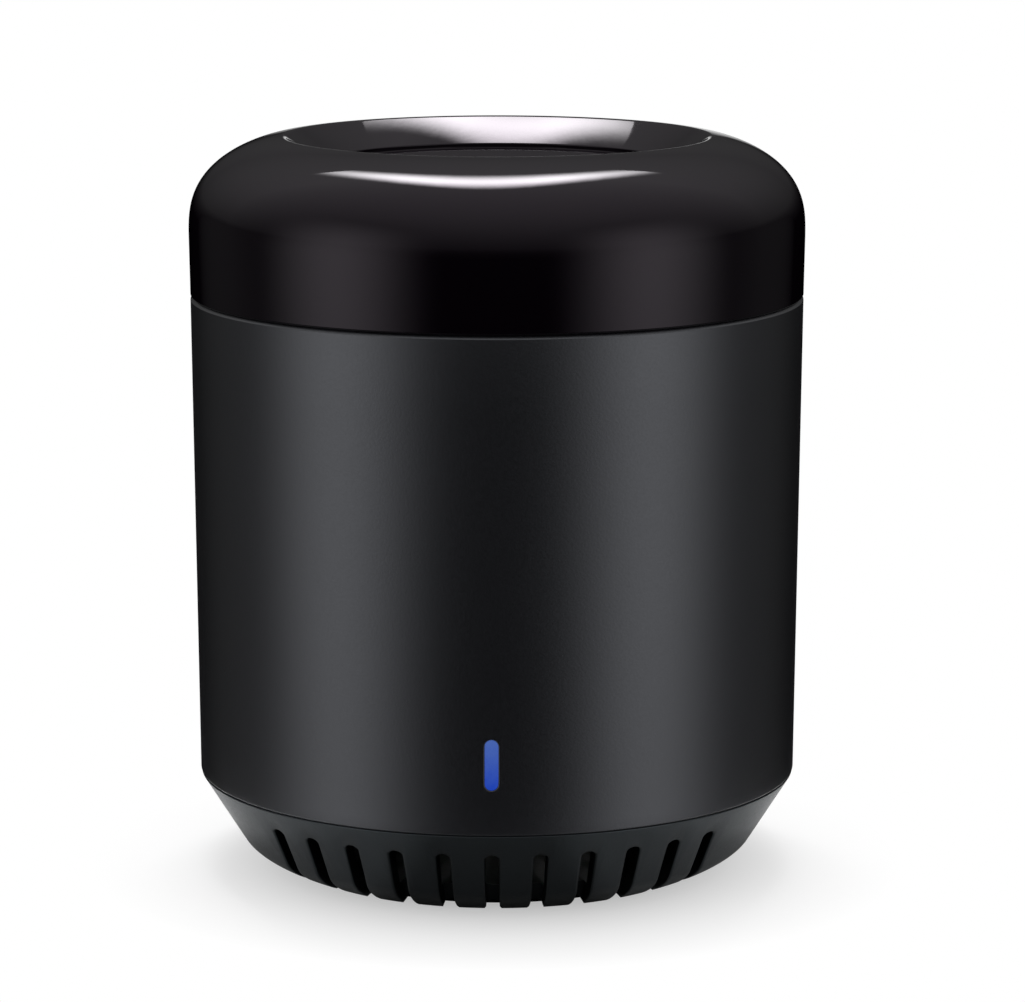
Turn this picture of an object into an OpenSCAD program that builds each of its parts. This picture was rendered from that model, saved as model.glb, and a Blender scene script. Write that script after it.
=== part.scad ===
// Smart IR blaster: a small upright cylinder that repeats remote-control codes all round a room.
// +Z is up, the front with the status light faces -Y, and the origin is the centre of the foot.

/* [Body] */
// Widest diameter, round the cover's shoulder
body_d = 49; // [46:0.5:54]
// Height of the vented base, up to the sleeve
base_h = 7.6; // [6.6:0.1:9]
// Height of the sleeve, from the base to the seam
sleeve_h = 38.5; // [36:0.5:46]
// Height of the cover, from the seam to its crest
cover_h = 12.56; // [12:0.02:15]
// How far the cover's shoulder stands out past the sleeve's top
shoulder_out = 0.08; // [0:0.02:0.2]
// How far the sleeve draws in on each side, from the seam to its foot
sleeve_draft = 0.39; // [0.1:0.01:0.6]

/* [Cover] */
// Wall of the cover
cover_wall = 1.6; // [1.2:0.1:2]
// Height of the rounded shoulder
shoulder_h = 7.6; // [6:0.1:8.2]
// Width of the shoulder, from the body's side to the crest
shoulder_w = 7.45; // [6.5:0.05:8]
// Radius of the rim at the crest
rim_r = 0.6; // [0.3:0.1:0.9]
// Width of the dish's sloping wall, from the crest to the floor
dish_wall_w = 3.3; // [2.6:0.1:4]
// Depth of the dish under the crest
dish_depth = 2.4; // [2.2:0.02:3]
// Height of the upright step round the dish's floor
dish_step = 0.4; // [0.2:0.1:0.8]
// Height of the spigot that enters the sleeve
cover_spigot_h = 2.4; // [2:0.1:3]

/* [Sleeve] */
// Wall of the sleeve
sleeve_wall = 1.8; // [1.4:0.1:2.2]
// Chamfer round the sleeve's top edge
seam_chamfer = 0.3; // [0.1:0.05:0.5]
// Width of the light slot
light_w = 1; // [0.6:0.1:1.6]
// Height of the light slot
light_h = 3.9; // [3:0.1:5]
// Height of the light slot's centre over the sleeve's foot
light_up = 5.6; // [5:0.1:6.4]

/* [Base] */
// Wall of the base, square to its cone
base_wall = 1.6; // [1.3:0.1:2]
// How far the cone leans in on each side, down to its lower corner
base_lean = 3.34; // [2.6:0.02:4]
// Height of the lower corner of the cone
base_corner_h = 2.27; // [1.8:0.01:3]
// How far the foot rim lies inside the cone's lower corner
foot_in = 3.79; // [3:0.01:4.2]
// Number of vent slots in each group, at the front and at the rear
vent_count = 11; // [7:2:11]
// Angle from a vent slot to the next
vent_pitch = 9.5; // [9:0.1:11]
// Width of a vent slot
vent_w = 1.05; // [0.6:0.05:1.3]
// Height of the top of a vent slot
vent_top_h = 5.77; // [4.5:0.01:6]
// Radius of the arch that each slot cuts under the rim
vent_arch_r = 0.65; // [0.4:0.05:0.7]

/* [Foot pad] */
// Width of the foot rim round the rubber pad
foot_rim_w = 2.1; // [1.8:0.1:2.6]
// Thickness of the rubber pad
pad_t = 0.9; // [0.9:0.1:1.1]
// How far the pad stands proud of the base
pad_proud = 0.2; // [0.1:0.05:0.3]

/* [Boards] */
// Thickness of the circuit boards
board_t = 1.2; // [1:0.1:1.6]
// Thickness of the board frame's ring
frame_ring_t = 1.6; // [1.2:0.1:2]
// Diameter of a frame column
column_d = 5; // [4.4:0.1:5.4]
// How far the columns' middles stand in from the main board's edge
column_in = 7.93; // [7.7:0.01:8.2]
// Diameter of an infrared emitter's lens
emitter_d = 5; // [3:0.5:5]
// Length of an infrared emitter
emitter_l = 8.6; // [7:0.1:8.8]

/* [Inlet and reset] */
// Width of the inlet's shell
usb_w = 7.5; // [7.3:0.1:7.7]
// Height of the inlet's shell
usb_h = 2.5; // [2.4:0.05:2.7]
// Length of the inlet's shell
usb_l = 5.6; // [5:0.1:6]
// Distance of the reset switch from the middle
reset_x = 8.6; // [8:0.1:9.2]
// Travel of the reset plunger
reset_travel = 0.25; // [0.15:0.05:0.35]
// Diameter of the reset pinhole
pinhole_d = 1.6; // [1:0.1:2]

/* [Hidden] */

// Facets of a round wall and of a small round
round_fn = 96;
small_fn = 32;
// Overrun of every cut
over = 1;
// Gap of pieces that slip into each other, and gap of a close sliding fit
slip = 0.1;
fit = 0.05;

// Diameters of the sleeve, the dish, the base and the pad
sleeve_top_d = body_d - 2 * shoulder_out;
sleeve_foot_d = sleeve_top_d - 2 * sleeve_draft;
crest_d = body_d - 2 * shoulder_w;
dish_floor_d = crest_d - 2 * dish_wall_w;
base_corner_d = sleeve_foot_d - 2 * base_lean;
foot_d = base_corner_d - 2 * foot_in;
pad_d = foot_d - 2 * foot_rim_w;

// Levels of the body
base_z = pad_proud;
base_top_z = base_z + base_h;
seam_z = base_top_z + sleeve_h;
crest_z = seam_z + cover_h;
shoulder_z = crest_z - shoulder_h;
dish_floor_z = crest_z - dish_depth;

// Shares that bend the shoulder's curve from a plain ellipse
shoulder_side_share = 1.316;
shoulder_top_share = 0.741;
// Steps of the shoulder's curve, of the rim, of the base's fillet and of a vent's arch
shoulder_steps = 24;
rim_steps = 6;
fillet_steps = 8;
arch_steps = 10;
// Share of the base's lower corner round that leans out before it turns in
foot_lean_share = 0.48;
// Directions of the two groups of vents, in degrees from the front
vent_sides = [0, 180];
// Depth of a vent's cut as a share of the wall that it goes through
vent_depth_share = 1.6;
// Share of a vent's angle that its cut turns by, so that the cuts fan out from the far side
vent_turn_share = 0.5;
// How far the inside of the dish's wall stands out, as a share of the cover's wall
dish_back_share = 0.75;

// Cover's spigot, and its bead that snaps into the sleeve
spigot_t = 1.2;
spigot_web = 1.2;
bead_h = 0.5;
bead_out = 0.3;
bead_up = 0.9;
cover_edge = 0.12;
// Sleeve's bottom chamfer, and its ledge for the board frame
foot_chamfer = 0.15;
ledge_t = 1.6;
ledge_w = 2.2;
// Base's spigot and floor
base_spigot_h = 2.6;
floor_t = 1.4;
pad_gap = 0.2;
pad_recess = pad_t - pad_proud;
floor_under_z = base_z + pad_recess;
floor_top_z = floor_under_z + floor_t;

// Radius of the sleeve's outside and inside at a height
function sleeve_r(z) =
    sleeve_foot_d / 2 + (sleeve_top_d - sleeve_foot_d) / 2 * (z - base_top_z) / sleeve_h;
function sleeve_in_r(z) = sleeve_r(z) - sleeve_wall;
// Radius of the base's cone at a height
cone_slope = (sleeve_foot_d - base_corner_d) / 2 / (base_h - base_corner_h);
cone_angle = atan(cone_slope);
function cone_r(z) = base_corner_d / 2 + cone_slope * (z - base_z - base_corner_h);

cover_spigot_z = seam_z - cover_spigot_h;
cover_spigot_r = sleeve_in_r(cover_spigot_z) - slip;
base_spigot_z = base_top_z + base_spigot_h;
base_spigot_r = sleeve_in_r(base_top_z) - slip;
base_spigot_in_r = base_spigot_r - spigot_t;

// Stack of the frame and the boards
frame_gap = 0.3;
frame_top_z = cover_spigot_z - frame_gap;
ledge_z = frame_top_z - frame_ring_t;
ir_board_z = frame_top_z;
ir_top_z = ir_board_z + board_t;
board_gap = 0.4;
ir_board_r = cover_spigot_r - spigot_t - board_gap;
main_board_r = base_spigot_in_r - board_gap;
main_board_z = base_spigot_z;
main_top_z = main_board_z + board_t;
column_circle_d = 2 * (main_board_r - column_in);
column_bite_share = 0.25;
frame_opening_r = column_circle_d / 2 - column_bite_share * column_d;

// Screws of the base and of the upper board
column_angles = [60, 120, 240, 300];
pilot_d = 1.7;
screw_hole_d = 2.4;
head_d = 3.8;
head_t = 1.4;
head_socket_d = 1.9;
head_socket_depth = 0.8;
head_socket_sides = 6;
base_boss_d = 6;
counterbore_d = 4.2;
screw_seat_rise = 2;
screw_seat_z = floor_top_z + screw_seat_rise;
base_screw_l = 12;
board_screw_l = 6;
pilot_spare = 1;

// Inlet, set back a little from the sleeve's face
usb_t = 0.25;
usb_chamfer = 0.7;
usb_setback = 0.7;
usb_window_gap = 0.55;
usb_window_r = 0.8;
usb_z = main_top_z + usb_h / 2;
usb_face_y = sleeve_r(usb_z) - usb_setback;
usb_back_y = usb_face_y - usb_l;
usb_block_l = 1.5;
usb_tongue_w = 3.8;
usb_tongue_t = 0.6;
usb_tongue_back = 0.5;
usb_contact_w = 0.35;
usb_contact_t = 0.12;
usb_contact_pitch = 0.65;
usb_contacts_n = 5;

// Reset switch: its body lies on the main board and its plunger points at the pinhole
switch_w = 4.6;
switch_l = 3.4;
switch_h = 2.8;
switch_wall = 0.7;
switch_setback = 0.6;
switch_face_y = sqrt(pow(main_board_r, 2) - pow(reset_x + switch_w / 2, 2)) - switch_setback;
switch_back_y = switch_face_y - switch_l;
switch_z = main_top_z + switch_h / 2;
stem_d = 1.2;
stem_out = 1;
collar_d = 1.9;
collar_t = 0.6;
cavity_d = 2.3;
nub_d = 0.7;
dome_h = 0.3;
dome_d = 2;
dome_t = 0.1;
dome_crown_share = 0.5;
cavity_l = switch_l - 2 * switch_wall;
collar_y = switch_face_y - switch_wall - fit;
nub_l = cavity_l - fit - collar_t - dome_h - reset_travel - slip;
clip_t = 0.15;
clip_ear_w = 1.2;
clip_ear_h = 1.6;
terminal_w = 0.6;
terminal_out = 0.7;
terminal_t = 0.2;

// Status light: side-view LED at the board's front edge, and the guide in front of it
led_w = 3;
led_l = 1.2;
led_h = 1.5;
led_setback = 0.5;
led_front_y = -(main_board_r - led_setback);
light_mid_z = base_top_z + light_up;
guide_gap = 0.03;
guide_flange_w = 2.4;
guide_flange_extra = 0.9;
guide_flange_t = 0.8;
guide_tail_w = 1.4;
guide_tail_h = 2;
guide_tail_drop_share = 0.33;
guide_led_gap = 0.25;
guide_back_y = led_front_y - guide_led_gap;
guide_flange_y = -(sleeve_in_r(light_mid_z - light_h) - fit);

// Wireless module, standing on its edge across the board
wifi_w = 20;
header_h = 2;
wifi_top_gap = 4;
wifi_z = main_top_z + header_h;
wifi_h = ir_board_z - wifi_top_gap - wifi_z;
wifi_t = 0.8;
wifi_y = 0.2;
header_d = 2;
wifi_pin = 0.5;
wifi_pin_pitch = 2;
wifi_pins_n = 8;
wifi_pin_up = 2.5;
wifi_pin_down = 1;
shield_w = 15;
shield_d = 2;
shield_t = 0.2;
shield_up = 4;
shield_top_gap = 8;
shield_h = wifi_h - shield_up - shield_top_gap;
shield_z = wifi_z + shield_up;
wifi_chip_w = 5;
wifi_chip_t = 0.85;
wifi_chip_x = -2.5;
wifi_chip_up = 4.7;
crystal_x = 3.8;
crystal_w = 2.5;
crystal_h = 2;
crystal_t = 0.6;
antenna_t = 0.1;
antenna_line = 0.6;
antenna_w = 16;
antenna_h = 4;
antenna_bars = 7;
antenna_margin = 0.8;

// Parts of the main board
flash_w = 5;
flash_l = 4;
flash_h = 1.5;
flash_x_share = 0.487;
flash_y_share = 0.614;
flash_x = -flash_x_share * main_board_r;
flash_y = -flash_y_share * main_board_r;
flash_lead_w = 0.4;
flash_lead_l = 0.9;
flash_lead_t = 0.2;
flash_lead_pitch = 1.27;
flash_leads_n = 4;
regulator_w = 6.5;
regulator_l = 3.5;
regulator_h = 1.6;
regulator_x_share = 0.224;
regulator_y_share = 0.4;
regulator_x = regulator_x_share * main_board_r;
regulator_y = -regulator_y_share * main_board_r;
regulator_lead_w = 0.7;
regulator_lead_l = 1.2;
regulator_lead_t = 0.3;
regulator_lead_pitch = 2.3;
regulator_tab_w = 3;
inductor_w = 4;
inductor_h = 2.1;
inductor_corner = 0.6;
inductor_x_share = 0.166;
inductor_y_share = 0.711;
inductor_x = inductor_x_share * main_board_r;
inductor_y = -inductor_y_share * main_board_r;
can_d = 6.3;
can_h = 6.6;
can_x_share = 0.127;
can_y_share = 0.419;
can_x = -can_x_share * main_board_r;
can_y = -can_y_share * main_board_r;
can_base_w = 6.6;
can_base_t = 1.1;
can_corner = 1.2;
can_groove = 0.25;
can_groove_z = 1;
can_edge = 0.3;
chip_w = 1.6;
chip_l = 0.8;
chip_h = 0.8;
chip_margin = 3.2;
chip_ring_r = main_board_r - chip_margin;
chip_angles = [65, 78, 90, 102, 115];

// Parts of the upper board
emitter_flange_out = 0.4;
emitter_flange_d = emitter_d + 2 * emitter_flange_out;
emitter_flange_t = 1;
emitter_steps = 8;
emitter_angles = [30, 90, 150, 210, 270, 330];
emitter_margin = 10.3;
emitter_back_r = ir_board_r - emitter_margin;
emitter_z = ir_top_z + emitter_flange_d / 2 + slip;
lead_w = 0.5;
lead_pitch = 2.54;
lead_back = 1.8;
lead_down = 0.9;
lead_hole_d = 0.9;
receiver_w = 6;
receiver_d = 3.2;
receiver_h = 6.6;
receiver_lens_r = 1.6;
receiver_lens_out = 1.1;
receiver_margin = 6.1;
receiver_y = -(ir_board_r - receiver_margin);
receiver_lift = 1;
driver_w = 2.9;
driver_l = 1.3;
driver_h = 1;
driver_angles = [120, 240];
led_resistor_angles = [60, 180, 300];
driver_margin = 2.34;
ir_chip_ring_r = ir_board_r - driver_margin;

// Harness between the boards
link_w = 9;
link_d = 3.8;
link_h = 4;
link_wall = 0.7;
link_floor = 0.8;
link_plug_out = 1.8;
link_y = 4.3;
wire_d = 0.9;
wire_pitch = 2;
wires_n = 4;

// Turns a point or a child round to an angle from the front
module at_angle(a, r) {
    rotate([0, 0, a]) translate([0, -r, 0]) children();
}

// Puts a child at each frame column
module at_columns() {
    for (a = column_angles) at_angle(a, column_circle_d / 2) children();
}

// A box centred over x and y that stands on z
module block(x, y, z, w, l, h) {
    translate([x - w / 2, y - l / 2, z]) cube([w, l, h]);
}

// A round body drawn as radius and height points
module turned(points) {
    rotate_extrude($fn = round_fn) polygon(points);
}

// A pin along Y whose far end is at y
module pin_y(x, y, z, d, l) {
    translate([x, y, z]) rotate([90, 0, 0]) cylinder(d = d, h = l, $fn = small_fn);
}

// A flat shape with round ends, upright in its own plane
module stadium(w, h) {
    square([w, h - w], center = true);
    for (side = [-1, 1]) translate([0, side * (h - w) / 2]) circle(d = w, $fn = small_fn);
}

// A rectangle with round corners
module soft_rectangle(w, h, r) {
    square([w - 2 * r, h], center = true);
    square([w, h - 2 * r], center = true);
    for (i = [-1, 1], j = [-1, 1])
        translate([i * (w / 2 - r), j * (h / 2 - r)]) circle(r = r, $fn = small_fn);
}

// A flat shape pushed along Y, from y_low to y_high, with its middle at x and z
module along_y(x, z, y_low, y_high) {
    translate([x, y_high, z]) rotate([90, 0, 0]) linear_extrude(y_high - y_low) children();
}

// Points of the shoulder's curve, from its side to its crest
function shoulder(side_r, top_r, low_z, high_z) = [
    for (i = [0 : shoulder_steps])
        let (t = 90 * i / shoulder_steps)
        [top_r + (side_r - top_r) * pow(cos(t), shoulder_side_share),
         low_z + (high_z - low_z) * pow(sin(t), shoulder_top_share)]
];

// Points of the rim, from the crest to where the dish's wall leaves it as a straight line
rim_z = crest_z - rim_r;
rim_fall = rim_z - dish_floor_z - dish_step;
rim_reach = norm([dish_wall_w, rim_fall]);
rim_end = 180 + atan2(rim_fall, dish_wall_w) - acos(rim_r / rim_reach);
function rim() = [
    for (i = [1 : rim_steps])
        let (t = 90 + (rim_end - 90) * i / rim_steps)
        [crest_d / 2 + rim_r * cos(t), rim_z + rim_r * sin(t)]
];

// Points of the fillet that turns the base's cone in to its foot, from the foot up
function foot_fillet() =
    let (foot = [foot_d / 2, base_z],
         corner = [base_corner_d / 2, base_z + base_corner_h],
         pull = corner - foot_lean_share * base_corner_h * [cone_slope, 1])
    [for (i = [0 : fillet_steps])
        let (t = i / fillet_steps)
        pow(1 - t, 2) * foot + 2 * t * (1 - t) * pull + pow(t, 2) * corner];

// Points of a snap bead on the outside of a spigot, from its low side up
function bead(r, z) = [[r, z - bead_h], [r + bead_out, z], [r, z + bead_h]];

module top_cover() {
    in_r = cover_spigot_r - spigot_t;
    side_in_r = min(body_d, sleeve_top_d) / 2 - cover_wall;
    color([0.05, 0.04, 0.06]) turned(concat(
        [[in_r, cover_spigot_z], [cover_spigot_r, cover_spigot_z]],
        bead(cover_spigot_r, seam_z - bead_up - bead_h),
        [[cover_spigot_r, seam_z], [sleeve_top_d / 2 - cover_edge, seam_z],
         [sleeve_top_d / 2, seam_z + cover_edge]],
        shoulder(body_d / 2, crest_d / 2, shoulder_z, crest_z),
        rim(),
        [[dish_floor_d / 2, dish_floor_z + dish_step], [dish_floor_d / 2, dish_floor_z], [0, dish_floor_z],
         [0, dish_floor_z - cover_wall],
         [dish_floor_d / 2 + dish_back_share * cover_wall, dish_floor_z - cover_wall],
         [crest_d / 2 + rim_r, crest_z - cover_wall]],
        [for (i = [1 : shoulder_steps])
            shoulder(side_in_r, crest_d / 2 + rim_r, shoulder_z, crest_z - cover_wall)[shoulder_steps - i]],
        [[side_in_r, seam_z + spigot_web + side_in_r - in_r], [in_r, seam_z + spigot_web]]));
}

// Outline of the sleeve's wall, with both bead grooves and the frame ledge
module sleeve_wall_shape() {
    ledge_in_r = sleeve_in_r(ledge_z) - ledge_w;
    groove_low = base_top_z + bead_up + bead_h;
    groove_high = seam_z - bead_up - bead_h;
    polygon([
        [sleeve_in_r(base_top_z), base_top_z],
        [sleeve_foot_d / 2 - foot_chamfer, base_top_z],
        [sleeve_foot_d / 2, base_top_z + foot_chamfer],
        [sleeve_top_d / 2, seam_z - seam_chamfer],
        [sleeve_top_d / 2 - seam_chamfer, seam_z],
        [sleeve_in_r(seam_z), seam_z],
        [sleeve_in_r(seam_z), groove_high + bead_h + fit],
        [sleeve_in_r(seam_z) + bead_out, groove_high],
        [sleeve_in_r(groove_high), groove_high - bead_h - fit],
        [sleeve_in_r(ledge_z), ledge_z],
        [ledge_in_r, ledge_z],
        [ledge_in_r, ledge_z - ledge_t],
        [sleeve_in_r(ledge_z), ledge_z - ledge_t - ledge_w],
        [sleeve_in_r(groove_low), groove_low + bead_h + fit],
        [sleeve_in_r(groove_low) + bead_out, groove_low],
        [sleeve_in_r(base_top_z), groove_low - bead_h - fit]]);
}

module sleeve() {
    color([0.17, 0.17, 0.18]) difference() {
        rotate_extrude($fn = round_fn) sleeve_wall_shape();
        along_y(0, light_mid_z, -sleeve_top_d / 2 - over, guide_flange_y + over)
            stadium(light_w + 2 * guide_gap, light_h + 2 * guide_gap);
        along_y(0, usb_z, usb_back_y, sleeve_top_d / 2 + over)
            soft_rectangle(usb_w + 2 * usb_window_gap, usb_h + 2 * usb_window_gap, usb_window_r);
        pin_y(reset_x, sleeve_top_d / 2 + over, switch_z, pinhole_d, sleeve_top_d / 2 + over - switch_face_y);
    }
}

// Arch that a vent cuts under the foot rim, as a flat outline
module arch_outline() {
    polygon([for (i = [0 : arch_steps])
        vent_arch_r * [cos(180 * i / arch_steps), sin(180 * i / arch_steps)]]);
}

// Puts a child at each vent, on the cone at a height and turned the way the cut goes
module at_vents(z) {
    for (side = vent_sides, i = [0 : vent_count - 1])
        let (a = (i - (vent_count - 1) / 2) * vent_pitch)
        rotate([0, 0, side]) translate([cone_r(z) * sin(a), -cone_r(z) * cos(a), 0])
            rotate([0, 0, vent_turn_share * a]) children();
}

// One vent: a slot square to the cone with a round top at top_z, and an arch under the foot rim
module vent_cut(top_z) {
    depth = vent_depth_share * base_wall;
    arch_l = (sleeve_foot_d - pad_d) / 2;
    translate([0, 0, top_z]) rotate([cone_angle, 0, 0])
        translate([0, depth, 0]) rotate([90, 0, 0]) linear_extrude(depth + over) {
            translate([0, -vent_w / 2]) circle(d = vent_w, $fn = small_fn);
            translate([-vent_w / 2, -2 * base_h]) square([vent_w, 2 * base_h - vent_w / 2]);
        }
    translate([0, arch_l, base_z]) rotate([90, 0, 0]) linear_extrude(arch_l + over) union() {
        arch_outline();
        translate([-vent_arch_r, -over]) square([2 * vent_arch_r, over]);
    }
}

module base() {
    thick = base_wall / cos(cone_angle);
    floor_in_r = cone_r(floor_top_z) - thick;
    meet_z = floor_top_z + (base_spigot_in_r - floor_in_r) / cone_slope;
    recess_r = pad_d / 2 + pad_gap;
    color([0.07, 0.07, 0.08]) difference() {
        union() {
            difference() {
                turned(concat(
                    [[0, floor_under_z], [recess_r, floor_under_z], [recess_r, base_z]],
                    foot_fillet(),
                    [[sleeve_foot_d / 2, base_top_z], [base_spigot_r, base_top_z]],
                    bead(base_spigot_r, base_top_z + bead_up + bead_h),
                    [[base_spigot_r, base_spigot_z], [base_spigot_in_r, base_spigot_z],
                     [base_spigot_in_r, meet_z], [floor_in_r, floor_top_z], [0, floor_top_z]]));
                at_vents(base_z + vent_top_h) vent_cut(base_z + vent_top_h);
            }
            at_columns() translate([0, 0, floor_under_z])
                cylinder(d = base_boss_d, h = main_board_z - floor_under_z, $fn = small_fn);
        }
        at_columns() {
            translate([0, 0, floor_under_z - over])
                cylinder(d = counterbore_d, h = screw_seat_z - floor_under_z + over, $fn = small_fn);
            translate([0, 0, screw_seat_z - over])
                cylinder(d = screw_hole_d, h = main_board_z - screw_seat_z + 2 * over, $fn = small_fn);
        }
    }
}

module foot_pad() {
    color([0.1, 0.1, 0.1]) cylinder(d = pad_d, h = pad_t, $fn = round_fn);
}

module light_pipe() {
    front_y = -sleeve_r(light_mid_z - light_h / 2) + guide_gap;
    tail_z = main_top_z + led_h / 2 - guide_tail_drop_share * guide_tail_h;
    color([0.15, 0.35, 0.9]) union() {
        along_y(0, light_mid_z, front_y, guide_flange_y + guide_flange_t / 2) stadium(light_w, light_h);
        block(0, guide_flange_y + guide_flange_t / 2, light_mid_z - light_h / 2 - guide_flange_extra,
            guide_flange_w, guide_flange_t, light_h + 2 * guide_flange_extra);
        block(0, (guide_flange_y + guide_back_y) / 2, tail_z,
            guide_tail_w, guide_back_y - guide_flange_y, guide_tail_h);
    }
}

module board_frame() {
    ring_r = sleeve_in_r(ledge_z) - slip;
    color([0.8, 0.8, 0.78]) difference() {
        union() {
            difference() {
                translate([0, 0, ledge_z]) cylinder(r = ring_r, h = frame_ring_t, $fn = round_fn);
                translate([0, 0, ledge_z - over])
                    cylinder(r = frame_opening_r, h = frame_ring_t + 2 * over, $fn = round_fn);
            }
            at_columns() translate([0, 0, main_top_z])
                cylinder(d = column_d, h = frame_top_z - main_top_z, $fn = small_fn);
        }
        at_columns() {
            translate([0, 0, main_top_z - over])
                cylinder(d = pilot_d, h = screw_seat_z + base_screw_l + pilot_spare + over - main_top_z,
                    $fn = small_fn);
            translate([0, 0, ir_top_z - board_screw_l - pilot_spare])
                cylinder(d = pilot_d, h = board_screw_l + pilot_spare, $fn = small_fn);
        }
    }
}

// Where the pins of the wireless module stand
function wifi_pin_x(i) = (i - (wifi_pins_n - 1) / 2) * wifi_pin_pitch;

// A hole through a board that lies on z = 0
module board_hole(d) {
    translate([0, 0, -over]) cylinder(d = d, h = board_t + 2 * over, $fn = small_fn);
}

module main_board() {
    color([0.05, 0.3, 0.16]) translate([0, 0, main_board_z]) difference() {
        cylinder(r = main_board_r, h = board_t, $fn = round_fn);
        at_columns() board_hole(screw_hole_d);
        for (i = [0 : wifi_pins_n - 1])
            translate([wifi_pin_x(i), wifi_y + wifi_t + wifi_pin / 2, 0]) board_hole(lead_hole_d);
    }
}

// Puts a child at each lead of the outward emitters, of the upward emitter and of the receiver
module at_leads() {
    for (a = emitter_angles, side = [-1, 1])
        rotate([0, 0, a]) translate([side * lead_pitch / 2, -(emitter_back_r - lead_back), 0]) children();
    for (side = [-1, 1]) translate([side * lead_pitch / 2, 0, 0]) children();
    for (side = [-1, 0, 1])
        translate([side * lead_pitch, receiver_y, 0]) children();
}

module ir_board() {
    color([0.05, 0.3, 0.16]) translate([0, 0, ir_board_z]) difference() {
        cylinder(r = ir_board_r, h = board_t, $fn = round_fn);
        at_columns() board_hole(screw_hole_d);
        at_leads() board_hole(lead_hole_d);
    }
}

// Outline of the inlet's shell, with its two cut lower corners
module usb_outline(inset) {
    w = usb_w / 2 - inset;
    h = usb_h / 2 - inset;
    c = usb_chamfer - inset / 2;
    polygon([[-w, h], [-w, c - h], [c - w, -h], [w - c, -h], [w, c - h], [w, h]]);
}

module usb_shell() {
    color([0.78, 0.78, 0.8]) difference() {
        along_y(0, usb_z, usb_back_y, usb_face_y) usb_outline(0);
        along_y(0, usb_z, usb_back_y - over, usb_face_y + over) usb_outline(usb_t);
    }
}

module usb_tongue() {
    color([0.1, 0.1, 0.1]) union() {
        along_y(0, usb_z, usb_back_y, usb_back_y + usb_block_l) usb_outline(usb_t);
        block(0, (usb_back_y + usb_face_y - usb_tongue_back) / 2, usb_z,
            usb_tongue_w, usb_l - usb_tongue_back, usb_tongue_t);
    }
}

module usb_contacts() {
    front_y = usb_face_y - 2 * usb_tongue_back;
    back_y = usb_back_y + usb_block_l;
    color([0.85, 0.7, 0.35]) for (i = [0 : usb_contacts_n - 1])
        block((i - (usb_contacts_n - 1) / 2) * usb_contact_pitch, (front_y + back_y) / 2,
            usb_z - usb_contact_t, usb_contact_w, front_y - back_y, usb_contact_t);
}

module reset_switch_body() {
    color([0.12, 0.12, 0.12]) difference() {
        block(reset_x, switch_face_y - switch_l / 2, main_top_z, switch_w, switch_l, switch_h);
        pin_y(reset_x, switch_face_y - switch_wall, switch_z, cavity_d, cavity_l);
        pin_y(reset_x, switch_face_y + over, switch_z, stem_d + 2 * fit, switch_wall + 2 * over);
    }
}

module reset_switch_cover() {
    top_z = main_top_z + switch_h;
    mid_y = switch_face_y - switch_l / 2;
    color([0.78, 0.78, 0.8]) union() {
        block(reset_x, mid_y, top_z, switch_w + 2 * clip_t, switch_l, clip_t);
        for (side = [-1, 1])
            block(reset_x + side * (switch_w + clip_t) / 2, mid_y, top_z - clip_ear_h,
                clip_t, clip_ear_w, clip_ear_h + clip_t);
    }
}

module reset_switch_terminals() {
    color([0.78, 0.78, 0.8]) for (side = [-1, 1], end = [-1, 1])
        block(reset_x + side * (switch_w + terminal_out) / 2,
            switch_face_y - switch_l / 2 + end * (switch_l - terminal_w) / 2, main_top_z,
            terminal_out, terminal_w, terminal_t);
}

module reset_snap_dome() {
    seat_y = switch_back_y + switch_wall;
    crown_r = dome_crown_share * dome_d / 2;
    crown_z = dome_h - dome_t / 2;
    color([0.8, 0.78, 0.72]) translate([reset_x, seat_y, switch_z]) rotate([-90, 0, 0])
        rotate_extrude($fn = small_fn) polygon([[0, dome_h - dome_t], [crown_r, crown_z - dome_t],
            [dome_d / 2, 0], [dome_d / 2, dome_t], [crown_r, crown_z], [0, dome_h]]);
}

module reset_plunger() {
    color([0.9, 0.88, 0.84]) union() {
        pin_y(reset_x, switch_face_y + stem_out, switch_z, stem_d,
            stem_out + switch_wall + fit + collar_t / 2);
        pin_y(reset_x, collar_y, switch_z, collar_d, collar_t);
        pin_y(reset_x, collar_y - collar_t / 2, switch_z, nub_d, collar_t / 2 + nub_l);
    }
}

module status_led() {
    color([0.95, 0.95, 0.9]) block(0, led_front_y + led_l / 2, main_top_z, led_w, led_l, led_h);
}

module wifi_board() {
    color([0.06, 0.2, 0.4]) block(0, wifi_y + wifi_t / 2, wifi_z, wifi_w, wifi_t, wifi_h);
}

module wifi_chip() {
    color([0.08, 0.08, 0.08]) block(wifi_chip_x, wifi_y - wifi_chip_t / 2, shield_z + wifi_chip_up,
        wifi_chip_w, wifi_chip_t, wifi_chip_w);
}

module wifi_crystal() {
    color([0.8, 0.8, 0.78]) block(crystal_x, wifi_y - crystal_t / 2, shield_z + wifi_chip_up,
        crystal_w, crystal_t, crystal_h);
}

module wifi_shield() {
    color([0.75, 0.75, 0.76]) difference() {
        block(0, wifi_y - shield_d / 2, shield_z, shield_w, shield_d, shield_h);
        block(0, wifi_y + (over + shield_t - shield_d) / 2, shield_z + shield_t,
            shield_w - 2 * shield_t, shield_d - shield_t + over, shield_h - 2 * shield_t);
    }
}

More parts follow.
